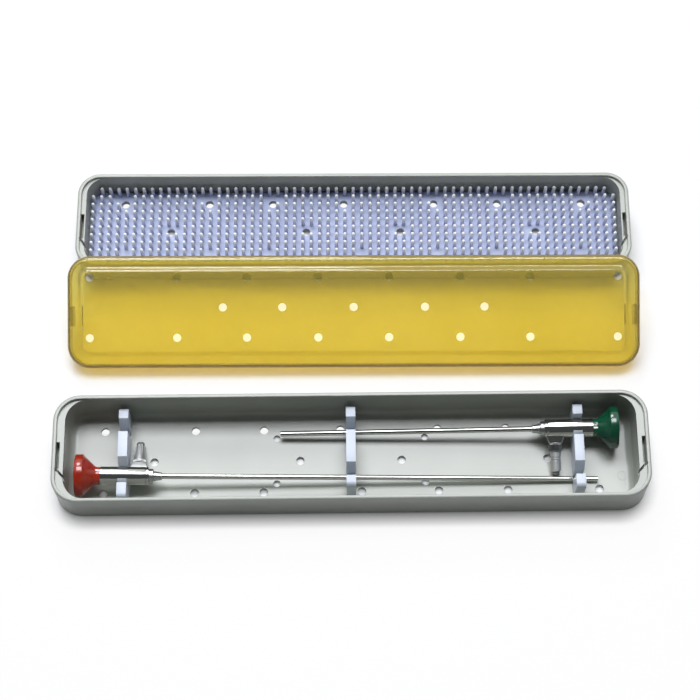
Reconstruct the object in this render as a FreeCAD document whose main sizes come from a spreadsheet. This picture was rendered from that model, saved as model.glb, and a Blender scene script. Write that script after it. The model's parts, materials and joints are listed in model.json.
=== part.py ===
"""Two level tray set for rigid scopes, laid open on a table.

A deep base tray holds two rigid scopes in three notched brackets. Behind it stands a
shallower insert tray with a finger mat, and a clear lid leans on the insert's near rim.
Millimetres, +X along the trays, +Y away from the viewer, +Z up. The origin is the middle
of the base tray's underside.
"""
import FreeCAD, Part
import math
import os

import Sketcher

V = FreeCAD.Vector

SIZES = {
    # base tray
    "base_length": 437.0,
    "base_width": 82.4,
    "base_height": 38.0,
    "base_corner": 19.5,
    "base_shelf": 5.5,
    "base_floor_round": 6.0,
    # insert tray, and where its middle stands on the table
    "insert_end_gap": 5.5,
    "insert_side_gap": 2.2,
    "insert_height": 30.0,
    "insert_corner": 17.0,
    "insert_shelf": 3.5,
    "insert_floor_round": 1.0,
    "insert_x": 3.8,
    "insert_y": 187.0,
    "back_row_turn": -0.45,
    # moulded walls that both trays share
    "wall": 3.0,
    "floor_thickness": 3.0,
    "outer_round": 4.0,
    "rim_round": 1.2,
    "shelf_drop": 2.5,
    "slot_width": 2.6,
    "slot_length": 20.5,
    "slot_depth": 9.0,
    "slot_middle": -4.8,
    "slit_run": 7.0,
    "slit_width": 1.8,
    # holes that let steam and water through
    "hole_bore": 6.3,
    "small_hole_bore": 5.2,
    "row_spacing": 24.3,
    "outer_hole_end": 34.3,
    "second_hole": 116.3,
    "third_hole": 65.0,
    "centre_hole": 7.8,
    "wide_middle_hole_end": 71.8,
    "near_middle_hole": 37.8,
    "small_hole": 55.3,
    "small_row": 17.7,
    "insert_hole_shrink": 0.97,
    # brackets that carry the scopes
    "bracket_end": 50.5,
    "bracket_thickness": 7.0,
    "bracket_height": 25.0,
    "bracket_far_gap": 7.0,
    "left_bracket_near_gap": 6.6,
    "middle_bracket_near_gap": 13.4,
    "right_bracket_near_gap": 10.8,
    "bracket_round": 3.0,
    "seat_clearance": 0.3,
    "mouth_depth": 8.0,
    "mouth_far_flare": 4.0,
    "mouth_near_flare": 0.8,
    "stud_bore": 6.0,
    "stud_length": 6.5,
    "stud_spacing": 16.0,
    "stud_middle": 2.0,
    "stud_clearance": 0.05,
    # scopes: one head, two shaft lengths
    "red_cup_end": 15.5,
    "red_cup_row": -15.2,
    "red_tip_row": -17.5,
    "red_tip_end": 35.3,
    "green_cup_end": 20.4,
    "green_cup_row": 18.0,
    "green_tip_row": 18.8,
    "green_shaft_length": 187.1,
    "scope_seat_height": 12.0,
    "cup_bore": 31.75,
    "cup_flange": 6.5,
    "cup_cone_end": 15.5,
    "cup_neck_end": 18.3,
    "neck_bore": 13.2,
    "eye_recess_depth": 4.0,
    "eye_recess_mouth": 26.0,
    "window_bore": 11.0,
    "window_thickness": 1.6,
    "body_bore": 13.8,
    "body_end": 54.0,
    "collar_bore": 11.0,
    "collar_end": 57.4,
    "ferrule_end": 63.6,
    "ferrule_bore": 7.4,
    "ferrule_nose": 5.6,
    "shaft_bore": 4.0,
    "shaft_socket": 5.0,
    "tip_lens_bore": 3.0,
    "tip_lens_depth": 0.8,
    "nub_bore": 2.0,
    "nub_length": 4.2,
    "part_clearance": 0.05,
    "rest_gap": 0.3,
    # light posts
    "post_place": 46.4,
    "block_root": 15.0,
    "block_head": 10.0,
    "block_thickness": 9.0,
    "block_reach": 11.3,
    "red_post_reach": 31.2,
    "red_guide_bore": 4.4,
    "red_ring_bore": 10.4,
    "red_ring_end": 13.6,
    "red_adapter_nose": 6.0,
    "flute_count": 10,
    "flute_bore": 1.6,
    "green_post_reach": 33.8,
    "green_guide_bore": 5.6,
    "green_ring_bore": 10.6,
    "green_ring_end": 16.7,
    "green_adapter_bore": 7.8,
    "green_adapter_end": 31.8,
    "adapter_groove": 0.5,
    # finger mat
    "mat_margin": 1.2,
    "mat_corner": 10.3,
    "mat_thickness": 2.0,
    "mat_gap": 0.1,
    "finger_pitch": 6.55,
    "finger_foot": 3.0,
    "finger_height": 12.0,
    "finger_hole_margin": 1.2,
    # lid
    "lid_end_inset": 2.0,
    "lid_side_overhang": 1.15,
    "lid_height": 15.0,
    "lid_corner": 17.0,
    "lid_wall": 2.2,
    "lid_round": 4.0,
    "lid_past_rim": 4.83,
    "lid_band": 8.0,
    "lid_step_run": 4.4,
    "lid_step_rise": 2.4,
    "lid_row_spacing": 22.8,
    "lid_row_shift": 3.1,
    "lid_outer_hole_end": 17.5,
    "lid_second_hole": 133.1,
    "lid_third_hole": 80.4,
    "lid_fourth_hole": 26.7,
    "lid_wide_middle_hole": 98.6,
    "lid_near_middle_hole": 53.8,
    "latch_width": 15.5,
    "latch_middle": -3.0,
    "latch_thickness": 1.2,
    "latch_reach": 6.5,
    "latch_barb": 0.6,
    "latch_back": 0.4,
}

# lengths and widths that follow from the base tray's, as formulas
LENGTH = {
    "base": "Sizes.base_length",
    "insert": "(Sizes.base_length - 2 * Sizes.insert_end_gap)",
    "lid": "(Sizes.base_length - 2 * Sizes.lid_end_inset)",
    "red_shaft": "(Sizes.base_length - Sizes.red_cup_end - Sizes.ferrule_end"
                 " - Sizes.red_tip_end)",
    "green_shaft": "Sizes.green_shaft_length"}
WIDTH = {
    "base": "Sizes.base_width",
    "insert": "(Sizes.base_width - 2 * Sizes.insert_side_gap)",
    "lid": "(Sizes.base_width + 2 * Sizes.lid_side_overhang)"}
BRACKET_X = "(Sizes.base_length / 2 - Sizes.bracket_end)"
OUTER_HOLE_X = "(Sizes.base_length / 2 - Sizes.outer_hole_end)"
WIDE_HOLE_X = "(Sizes.base_length / 2 - Sizes.wide_middle_hole_end)"
LID_OUTER_HOLE_X = f"({LENGTH['lid']} / 2 - Sizes.lid_outer_hole_end)"
QUARTER_TURN = 90

doc = FreeCAD.newDocument("scope_tray")
sheet = doc.addObject("Spreadsheet::Sheet", "Sizes")
for row, (alias, number) in enumerate(SIZES.items(), start=1):
    sheet.set(f"A{row}", alias)
    sheet.set(f"B{row}", str(number))
    sheet.setAlias(f"B{row}", alias)
doc.recompute()

finished = []


def size(alias):
    """A driving size from the sheet."""
    return float(sheet.get(alias))


def worked(formula):
    """The value of a formula over the sheet's names."""
    answer = sheet.evalExpression(formula)
    return float(getattr(answer, "Value", answer))


def keep(shape_object, name, placement=None):
    """Marks an object as a sub-part, named after its file, and puts it in its place."""
    shape_object.Label = name
    if placement is not None:
        shape_object.Placement = placement
    finished.append(shape_object)
    return shape_object


def new_body(name):
    return doc.addObject("PartDesign::Body", name + "_body")


def new_sketch(body, name, height="0", role="XY_Plane"):
    """An empty sketch on one of the body's own planes, raised to a height."""
    sketch = body.newObject("Sketcher::SketchObject", name)
    plane = next(item for item in body.Origin.OriginFeatures if item.Role == role)
    sketch.AttachmentSupport = [(plane, "")]
    sketch.MapMode = "FlatFace"
    sketch.setExpression("AttachmentOffset.Base.z", height)
    return sketch


def add_rounded_rectangle(sketch, length, width, radius):
    """Four lines and four tangent arcs about the origin, bound to three formulas."""
    half_x, half_y, r = worked(length) / 2, worked(width) / 2, worked(radius)
    corners = [(1, 1), (-1, 1), (-1, -1), (1, -1)]
    first = sketch.GeometryCount
    for index, (sx, sy) in enumerate(corners):
        centre = V(sx * (half_x - r), sy * (half_y - r), 0)
        circle = Part.Circle(centre, V(0, 0, 1), r)
        start = index * math.pi / 2
        sketch.addGeometry(Part.ArcOfCircle(circle, start, start + math.pi / 2))
    for index, (sx, sy) in enumerate(corners):
        nx, ny = corners[(index + 1) % 4]
        if index % 2 == 0:
            ends = V(sx * (half_x - r), sy * half_y, 0), V(nx * (half_x - r), ny * half_y, 0)
        else:
            ends = V(sx * half_x, sy * (half_y - r), 0), V(nx * half_x, ny * (half_y - r), 0)
        sketch.addGeometry(Part.LineSegment(*ends))
    for index in range(4):
        arc, line, next_arc = first + index, first + 4 + index, first + (index + 1) % 4
        sketch.addConstraint(Sketcher.Constraint("Tangent", arc, 2, line, 1))
        sketch.addConstraint(Sketcher.Constraint("Tangent", line, 2, next_arc, 1))
        kind = "Horizontal" if index % 2 == 0 else "Vertical"
        sketch.addConstraint(Sketcher.Constraint(kind, line))
    for index in range(1, 4):
        sketch.addConstraint(Sketcher.Constraint("Equal", first, first + index))
    sketch.addConstraint(Sketcher.Constraint("Symmetric", first, 3, first + 2, 3, -1, 1))
    bound_constraint(sketch, ["Radius", first], r, radius)
    bound_constraint(sketch, ["DistanceX", first + 4, 2, first + 4, 1], 2 * (half_x - r),
                     f"({length}) - 2 * ({radius})")
    bound_constraint(sketch, ["DistanceY", first + 7, 1, first + 7, 2], 2 * (half_y - r),
                     f"({width}) - 2 * ({radius})")


def bound_constraint(sketch, words, number, formula):
    """A dimension in a sketch that follows a formula over the sheet."""
    place = sketch.addConstraint(Sketcher.Constraint(*words, number))
    sketch.renameConstraint(place, f"dimension{place}")
    sketch.setExpression(f"Constraints.dimension{place}", formula)


def add_circle(sketch, x, y, bore):
    """A circle whose centre and bore follow formulas."""
    at_x, at_y, radius = worked(x), worked(y), worked(bore) / 2
    circle = sketch.addGeometry(Part.Circle(V(at_x, at_y, 0), V(0, 0, 1), radius))
    bound_constraint(sketch, ["Radius", circle], radius, f"({bore}) / 2")
    bound_constraint(sketch, ["DistanceX", -1, 1, circle, 3], at_x, x)
    bound_constraint(sketch, ["DistanceY", -1, 1, circle, 3], at_y, y)


def add_polygon(sketch, points):
    """A closed run of lines through points that are pairs of formulas."""
    first = sketch.GeometryCount
    count = len(points)
    places = [V(worked(x), worked(y), 0) for x, y in points]
    for index in range(count):
        sketch.addGeometry(Part.LineSegment(places[index], places[(index + 1) % count]))
    for index in range(count):
        following = first + (index + 1) % count
        sketch.addConstraint(Sketcher.Constraint("Coincident", first + index, 2, following, 1))
    for index, (x, y) in enumerate(points):
        bound_constraint(sketch, ["DistanceX", -1, 1, first + index, 1], places[index].x, x)
        bound_constraint(sketch, ["DistanceY", -1, 1, first + index, 1], places[index].y, y)


def rounded_section(body, name, length, width, radius, height):
    sketch = new_sketch(body, name, height)
    add_rounded_rectangle(sketch, length, width, radius)
    return sketch


def loft(body, kind, name, lower, upper):
    """A solid, or a hollow, that runs straight from one section to the next."""
    feature = body.newObject("PartDesign::" + kind, name)
    feature.Profile = lower
    feature.Sections = [upper]
    feature.Ruled = True
    doc.recompute()
    return feature


def pad(body, name, sketch, height):
    """Raises a sketch into a solid with upright walls."""
    feature = body.newObject("PartDesign::Pad", name)
    feature.Profile = sketch
    feature.setExpression("Length", height)
    doc.recompute()
    return feature


def pocket(body, name, sketch, depth=None, upward=False):
    """Cuts a sketch down or up by a depth, or right through both ways."""
    before = body.Shape.Volume
    feature = body.newObject("PartDesign::Pocket", name)
    feature.Profile = sketch
    if depth is None:
        feature.Type = "ThroughAll"
        feature.SideType = "Symmetric"
    else:
        feature.setExpression("Length", depth)
        feature.Reversed = upward
    doc.recompute()
    if body.Shape.Volume > before - 0.01:
        raise RuntimeError(f"{name} cuts nothing")
    return feature


def fillet(body, name, radius, wanted):
    """Rounds the edges that a test picks."""
    base = body.Tip
    edges = [f"Edge{i}" for i, edge in enumerate(base.Shape.Edges, 1) if wanted(edge)]
    feature = body.newObject("PartDesign::Fillet", name)
    feature.Base = (base, edges)
    feature.setExpression("Radius", radius)
    doc.recompute()
    return feature


def lies_at(height):
    """A test for edges that lie flat at a height."""
    def wanted(edge):
        box = edge.BoundBox
        return abs(box.ZMin - height) < 0.01 and abs(box.ZMax - height) < 0.01
    return wanted


def tray_holes(shrink):
    """Places and bores of the holes in a tray's floor, as formulas."""
    holes = []
    for side in (-1, 1):
        for across in (-1, 1):
            for place in (OUTER_HOLE_X, "Sizes.second_hole", "Sizes.third_hole"):
                holes.append((f"{side} * {place} * {shrink}",
                              f"{across} * Sizes.row_spacing", "Sizes.hole_bore"))
        holes.append((f"{side} * Sizes.centre_hole * {shrink}",
                      f"{-side} * Sizes.row_spacing", "Sizes.hole_bore"))
        for place in (WIDE_HOLE_X, "Sizes.near_middle_hole"):
            holes.append((f"{side} * {place} * {shrink}", "0", "Sizes.hole_bore"))
    return holes


def small_holes():
    """The finer drain holes between the rows, as formulas."""
    return [(f"{side} * Sizes.small_hole", f"{across} * Sizes.small_row",
             "Sizes.small_hole_bore") for side in (-1, 1) for across in (-1, 1)]


def tray(name, kind, holes, placement):
    """A rounded tray with end shelves and the pockets that the lid snaps into."""
    length, width = LENGTH[kind], WIDTH[kind]
    height, corner = f"Sizes.{kind}_height", f"Sizes.{kind}_corner"
    shelf_width = f"Sizes.{kind}_shelf"
    body = new_body(name)

    outline = rounded_section(body, name + "_outline", length, width, corner, "0")
    pad(body, name + "_block", outline, height)
    fillet(body, name + "_foot_round", "Sizes.outer_round", lies_at(0))
    fillet(body, name + "_rim_round", "Sizes.rim_round", lies_at(worked(height)))

    inner_length, inner_width = f"{length} - 2 * Sizes.wall", f"{width} - 2 * Sizes.wall"
    inner_corner = f"{corner} - Sizes.wall"
    mouth = rounded_section(body, name + "_mouth", f"{inner_length} - 2 * {shelf_width}",
                            inner_width, inner_corner, height)
    pocket(body, name + "_hollow", mouth, f"{height} - Sizes.floor_thickness")
    fillet(body, name + "_floor_round", f"Sizes.{kind}_floor_round", lies_at(size("floor_thickness")))
    shelf = rounded_section(body, name + "_shelf", inner_length, inner_width, inner_corner, height)
    pocket(body, name + "_shelf_cut", shelf, "Sizes.shelf_drop")

    slots = new_sketch(body, name + "_slots", f"{height} - Sizes.shelf_drop")
    edge = f"({inner_length}) / 2"
    low = "Sizes.slot_middle - Sizes.slot_length / 2"
    high = "Sizes.slot_middle + Sizes.slot_length / 2"
    for side in (-1, 1):
        outer, inner = f"{side} * ({edge})", f"{side} * ({edge} - Sizes.slot_width)"
        shelf_edge = f"{side} * ({edge} - {shelf_width} - 1)"
        add_polygon(slots, [(outer, high), (inner, high), (inner, low),
                            (shelf_edge, f"{low} - Sizes.slit_run"),
                            (shelf_edge, f"{low} - Sizes.slit_run - Sizes.slit_width"),
                            (outer, low)])
    pocket(body, name + "_slot_cut", slots, "Sizes.slot_depth")

    drain = new_sketch(body, name + "_drain")
    for x, y, bore in holes:
        add_circle(drain, x, y, bore)
    pocket(body, name + "_drain_cut", drain)
    return keep(body, name, placement)


def stud_places():
    """Places of the studs under the brackets, as formulas."""
    return [(f"{side} * {BRACKET_X}", f"{across} * Sizes.stud_spacing / 2 + Sizes.stud_middle")
            for side in (-1, 0, 1) for across in (-1, 1)]


def base_tray():
    bore = "Sizes.stud_bore + 2 * Sizes.stud_clearance"
    holes = tray_holes("1") + small_holes() + [(x, y, bore) for x, y in stud_places()]
    return tray("base_tray", "base", holes, FreeCAD.Placement())


def insert_place():
    """Where the insert tray's middle stands, with the back row's slight turn."""
    turn = FreeCAD.Rotation(V(0, 0, 1), size("back_row_turn"))
    return FreeCAD.Placement(V(size("insert_x"), size("insert_y"), 0), turn)


def insert_tray():
    return tray("insert_tray", "insert", tray_holes("Sizes.insert_hole_shrink"), insert_place())


def primitive(kind, name, at=V(), rotation=None, **formulas):
    """A Part solid whose sizes follow formulas."""
    item = doc.addObject("Part::" + kind, name)
    for prop, formula in formulas.items():
        item.setExpression(prop, formula)
    item.Placement = FreeCAD.Placement(at, rotation or FreeCAD.Rotation())
    return item


def fuse(name, pieces):
    item = doc.addObject("Part::MultiFuse", name)
    item.Shapes = pieces
    return item


def cut(name, base, tools):
    """Takes one tool, or several joined, from a base."""
    item = doc.addObject("Part::Cut", name)
    item.Base = base
    item.Tool = tools[0] if len(tools) == 1 else fuse(name + "_tools", tools)
    return item


def cylinder(name, bore, start, end, at=V(), rotation=None):
    """A cylinder along its frame's Z from a start to an end, all formulas."""
    turn = rotation or FreeCAD.Rotation()
    place = at + turn.multVec(V(0, 0, worked(start)))
    return primitive("Cylinder", name, place, turn, Radius=f"({bore}) / 2",
                     Height=f"({end}) - ({start})")


def cone(name, first_bore, last_bore, start, end):
    """A cone along Z between two bores."""
    return primitive("Cone", name, V(0, 0, worked(start)), None, Radius1=f"({first_bore}) / 2",
                     Radius2=f"({last_bore}) / 2", Height=f"({end}) - ({start})")


def cup_x(colour):
    """Where a scope's eye face stands: the red one at the left end, the green at the right."""
    side = -1 if colour == "red" else 1
    return side * (size("base_length") / 2 - size(colour + "_cup_end"))


def axis_height(distance):
    """How high a scope's axis lies, at a level distance from its cup's eye face."""
    reach = abs(cup_x("red"))
    return size("scope_seat_height") + (reach - distance) * math.tan(scope_lean())


def askew(colour):
    """How far a scope's row drifts, per millimetre from its cup to its tip."""
    length = size("ferrule_end") + worked(LENGTH[colour + "_shaft"])
    return (size(colour + "_tip_row") - size(colour + "_cup_row")) / length


def row_at(colour, distance):
    """The row that a scope's axis lies on, at a distance from its cup's eye face."""
    return size(colour + "_cup_row") + askew(colour) * distance


def scope_lean():
    """The angle at which a scope lies: cup on the floor, shaft in the middle bracket."""
    lean = 0.0
    for _ in range(6):
        flange = size("cup_flange") * math.sin(lean) + size("cup_bore") / 2 * math.cos(lean)
        cup = size("floor_thickness") + size("rest_gap") + flange
        lean = math.atan((cup - size("scope_seat_height")) / abs(cup_x("red")))
    return lean


def post_drop(colour):
    """The angle below level at which a light post's end lies on the floor."""
    if colour == "red":
        ends = [("red_post_reach", "red_adapter_nose")]
    else:
        ends = [("green_post_reach", "green_guide_bore"),
                ("green_adapter_end", "green_adapter_bore")]
    fall = axis_height(size("post_place")) - size("floor_thickness") - size("rest_gap")
    drops = []
    for reach_name, bore_name in ends:
        reach, radius = size(reach_name), size(bore_name) / 2
        drops.append(math.asin(fall / math.hypot(reach, radius)) - math.atan(radius / reach))
    return min(drops)


def scope_place(colour):
    """A scope's own frame: Z from the cup's eye face to the tip, X along the light post."""
    toward_tip = 1 if colour == "red" else -1
    lean = scope_lean()
    along = V(toward_tip * math.cos(lean), askew(colour), -math.sin(lean))
    drop = post_drop(colour)
    post = V(0, toward_tip * math.cos(drop), -math.sin(drop))
    turn = FreeCAD.Rotation(post, V(), along, "ZXY")
    origin = V(cup_x(colour), size(colour + "_cup_row"), axis_height(0))
    return FreeCAD.Placement(origin, turn)


ACROSS = FreeCAD.Rotation(V(0, 1, 0), 90)


def post_cylinder(name, bore, start, end):
    """A cylinder along the light post, which runs along the scope frame's X."""
    return cylinder(name, bore, start, end, V(0, 0, size("post_place")), ACROSS)


def post_cone(name, first_bore, last_bore, start, end):
    """A cone along the light post."""
    place = V(worked(start), 0, size("post_place"))
    return primitive("Cone", name, place, ACROSS, Radius1=f"({first_bore}) / 2",
                     Radius2=f"({last_bore}) / 2", Height=f"({end}) - ({start})")


def nub(name, extra):
    """The index nub's cylinder, which lies half sunk along the top of the neck."""
    place = V(0, (size("body_bore") - size("nub_bore")) / 2, 0)
    start = f"Sizes.cup_neck_end - Sizes.nub_length - {extra}"
    return cylinder(name, f"Sizes.nub_bore + 2 * {extra}", start, "Sizes.cup_neck_end", place)


def eyecup(colour, place):
    """The flared cup that takes a camera coupler, with its recess and window seat."""
    name = colour + "_eyecup"
    gap = "Sizes.part_clearance"
    outer = fuse(name + "_outer", [
        cylinder(name + "_flange", "Sizes.cup_bore", "0", "Sizes.cup_flange"),
        cone(name + "_flare", "Sizes.cup_bore - 1", "Sizes.neck_bore", "Sizes.cup_flange",
             "Sizes.cup_cone_end"),
        cylinder(name + "_neck", "Sizes.neck_bore", "Sizes.cup_cone_end", "Sizes.cup_neck_end")])
    seat_end = "Sizes.eye_recess_depth + Sizes.window_thickness"
    item = cut(name, outer, [
        cone(name + "_recess", "Sizes.eye_recess_mouth", "Sizes.window_bore + 2", "0",
             "Sizes.eye_recess_depth"),
        cylinder(name + "_seat", f"Sizes.window_bore + 2 * {gap}", "Sizes.eye_recess_depth - 1",
                 seat_end),
        nub(name + "_nub_seat", gap)])
    return keep(item, name, place)


def window(colour, place):
    item = cylinder(colour + "_window", "Sizes.window_bore", "Sizes.eye_recess_depth",
                    "Sizes.eye_recess_depth + Sizes.window_thickness")
    item.setExpression("Placement.Base.z", "Sizes.eye_recess_depth")
    return keep_primitive(item, colour + "_window", place)


def keep_primitive(item, name, place):
    """Keeps a bare primitive: its own place is taken along into the object's."""
    doc.recompute()
    item.setExpression("Placement.Base.z", None)
    return keep(item, name, place.multiply(item.Placement))


def index_nub(colour, place):
    return keep_primitive(nub(colour + "_index_nub", "0"), colour + "_index_nub", place)


def body_tube(colour, place):
    item = cylinder(colour + "_body", "Sizes.body_bore", "Sizes.cup_neck_end", "Sizes.body_end")
    return keep_primitive(item, colour + "_body", place)


def light_block(colour, place):
    """The tapered saddle that joins the light post to the body."""
    name = colour + "_light_block"
    root = "Sizes.body_bore / 4"
    wedge = doc.addObject("Part::Wedge", name + "_wedge")
    half_thick = "Sizes.block_thickness / 2"
    for prop, formula in {
            "Xmin": f"-({half_thick})", "Xmax": half_thick,
            "X2min": f"-({half_thick}) + 0.8", "X2max": f"{half_thick} - 0.8",
            "Zmin": "-Sizes.block_root / 2", "Zmax": "Sizes.block_root / 2",
            "Z2min": "-Sizes.block_head / 2", "Z2max": "Sizes.block_head / 2",
            "Ymin": root, "Ymax": "Sizes.block_reach"}.items():
        wedge.setExpression(prop, formula)
    wedge.Placement = FreeCAD.Placement(V(0, 0, size("post_place")),
                                        FreeCAD.Rotation(V(0, 0, 1), -90))
    gap = "Sizes.part_clearance"
    guide = f"Sizes.{colour}_guide_bore + 2 * {gap}"
    item = cut(name, wedge, [
        cylinder(name + "_saddle", f"Sizes.body_bore + 2 * {gap}", "Sizes.cup_neck_end",
                 "Sizes.body_end + Sizes.block_root"),
        post_cylinder(name + "_bore", guide, "0", "Sizes.block_reach + 1")])
    return keep(item, name, place)


def light_guide(colour, place):
    """The polished rod that takes light from the cable into the scope."""
    start = "Sizes.body_bore / 2 + 0.3"
    item = post_cylinder(colour + "_light_guide", f"Sizes.{colour}_guide_bore", start,
                         f"Sizes.{colour}_post_reach")
    return keep_primitive(item, colour + "_light_guide", place)


def light_ring(colour, place):
    """The ring at the foot of the light post."""
    name = colour + "_light_ring"
    gap = "Sizes.part_clearance"
    item = cut(name, post_cylinder(name + "_rim", f"Sizes.{colour}_ring_bore", "Sizes.block_reach",
                                   f"Sizes.{colour}_ring_end"),
               [post_cylinder(name + "_bore", f"Sizes.{colour}_guide_bore + 2 * {gap}",
                              "Sizes.block_reach - 1", f"Sizes.{colour}_ring_end + 1")])
    return keep(item, name, place)


def red_adapter(place):
    """The fluted, tapered adapter that turns on the red scope's light guide."""
    name = "red_adapter"
    gap = "Sizes.part_clearance"
    start, end = f"Sizes.red_ring_end + {gap}", "Sizes.red_post_reach"
    outer = post_cone(name + "_cone", "Sizes.red_ring_bore - 0.8", "Sizes.red_adapter_nose",
                      start, end)
    tools = [post_cylinder(name + "_bore", f"Sizes.red_guide_bore + 2 * {gap}",
                           "Sizes.red_ring_end - 1", "Sizes.red_post_reach + 1")]
    first = size("red_ring_end") + 3 * size("flute_bore")
    last = size("red_post_reach") - 1.5 * size("flute_bore")
    slope = math.atan((size("red_ring_bore") - 0.8 - size("red_adapter_nose")) / 2
                      / (size("red_post_reach") - size("red_ring_end")))
    mouth = (size("red_ring_bore") - 0.8) / 2 - (first - size("red_ring_end")) * math.tan(slope)
    count = round(size("flute_count"))
    for index in range(count):
        angle = 360.0 * index / count
        around = FreeCAD.Rotation(V(1, 0, 0), angle)
        lean = FreeCAD.Rotation(V(0, 1, 0), 90 + math.degrees(slope))
        at = V(0, 0, size("post_place")) + around.multVec(V(first, 0, mouth + 0.35))
        groove = primitive("Cylinder", f"{name}_flute{index}", at, around.multiply(lean),
                           Radius="Sizes.flute_bore / 2")
        groove.Height = (last - first) / math.cos(slope)
        tools.append(groove)
    return keep(cut(name, outer, tools), name, place)


def green_adapter(place):
    """The stepped adapter that turns on the green scope's light guide."""
    name = "green_adapter"
    gap = "Sizes.part_clearance"
    start, end = f"Sizes.green_ring_end + {gap}", "Sizes.green_adapter_end"
    outer = post_cylinder(name + "_outer", "Sizes.green_adapter_bore", start, end)
    tools = [post_cylinder(name + "_bore", f"Sizes.green_guide_bore + 2 * {gap}",
                           "Sizes.green_ring_end - 1", "Sizes.green_adapter_end + 1")]
    length = size("green_adapter_end") - size("green_ring_end")
    for index, share in enumerate((0.28, 0.42)):
        start_at = size("green_ring_end") + share * length
        groove = cut(f"{name}_groove{index}", post_cylinder(
            f"{name}_groove_outer{index}", "Sizes.green_adapter_bore + 2", f"{start_at}",
            f"{start_at} + Sizes.adapter_groove * 2"), [post_cylinder(
                f"{name}_groove_inner{index}",
                "Sizes.green_adapter_bore - 2 * Sizes.adapter_groove",
                f"{start_at} - 1", f"{start_at} + 1 + Sizes.adapter_groove * 2")])
        tools.append(groove)
    return keep(cut(name, outer, tools), name, place)


def collar(colour, place):
    """The ring between the body and the nose."""
    item = cylinder(colour + "_collar", "Sizes.collar_bore", "Sizes.body_end", "Sizes.collar_end")
    return keep_primitive(item, colour + "_collar", place)


def ferrule(colour, place):
    """The tapered nose that grips the shaft."""
    name = colour + "_ferrule"
    item = cut(name, cone(name + "_nose", "Sizes.ferrule_bore", "Sizes.ferrule_nose",
                          "Sizes.collar_end", "Sizes.ferrule_end"),
               [cylinder(name + "_socket", "Sizes.shaft_bore + 2 * Sizes.part_clearance",
                         "Sizes.ferrule_end - Sizes.shaft_socket", "Sizes.ferrule_end + 1")])
    return keep(item, name, place)


def shaft(colour, place):
    """The long steel shaft, with a pocket in its end for the front lens."""
    name = colour + "_shaft"
    tip = f"Sizes.ferrule_end + {LENGTH[colour + '_shaft']}"
    rod = cylinder(name + "_rod", "Sizes.shaft_bore", "Sizes.ferrule_end - Sizes.shaft_socket", tip)
    item = cut(name, rod, [cylinder(name + "_pocket",
                                    "Sizes.tip_lens_bore + 2 * Sizes.part_clearance",
                                    f"{tip} - Sizes.tip_lens_depth", f"{tip} + 1")])
    return keep(item, name, place)


def tip_lens(colour, place):
    tip = f"Sizes.ferrule_end + {LENGTH[colour + '_shaft']}"
    item = cylinder(colour + "_tip_lens", "Sizes.tip_lens_bore", f"{tip} - Sizes.tip_lens_depth",
                    f"{tip} - 0.1")
    return keep_primitive(item, colour + "_tip_lens", place)


def scope(colour):
    """One rigid scope, lying in the base tray."""
    place = scope_place(colour)
    for make in (eyecup, window, index_nub, body_tube, light_block, light_guide, light_ring,
                 collar, ferrule, shaft, tip_lens):
        make(colour, place)
    (red_adapter if colour == "red" else green_adapter)(place)


def notch_tools(name, bracket_x, colour):
    """What a bracket's notch leaves free for one scope: a round seat and a flared mouth."""
    toward_tip = 1 if colour == "red" else -1
    distance = toward_tip * (bracket_x - cup_x(colour))
    over_body = size("cup_neck_end") < distance < size("body_end")
    bore = size("body_bore") if over_body else size("shaft_bore")
    half = bore / 2 + size("seat_clearance")
    row, reach = row_at(colour, distance), size("bracket_thickness")
    top = size("floor_thickness") + size("bracket_height")
    seat_height = axis_height(distance)
    place = scope_place(colour)
    seat = doc.addObject("Part::Cylinder", name + "_seat")
    seat.Radius = half
    seat.Height = 2 * reach
    seat.Placement = place.multiply(FreeCAD.Placement(V(0, 0, distance - reach),
                                                      FreeCAD.Rotation()))
    throat = doc.addObject("Part::Box", name + "_throat")
    throat.Length, throat.Width, throat.Height = 2 * reach, 2 * half, top - seat_height + 1
    throat.Placement.Base = V(bracket_x - reach, row - half, seat_height)
    near = half + size("mouth_near_flare")
    far = near if over_body and colour == "green" else near + size("mouth_far_flare")
    mouth = doc.addObject("Part::Wedge", name + "_mouth")
    mouth.Xmin, mouth.Xmax, mouth.X2min, mouth.X2max = -reach, reach, -reach, reach
    mouth.Ymin, mouth.Ymax = 0, size("mouth_depth")
    mouth.Zmin, mouth.Zmax, mouth.Z2min, mouth.Z2max = -half, half, -far, near
    mouth.Placement = FreeCAD.Placement(V(bracket_x, row, top - size("mouth_depth")),
                                        FreeCAD.Rotation(V(1, 0, 0), 90))
    return [seat, throat, mouth]


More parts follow.
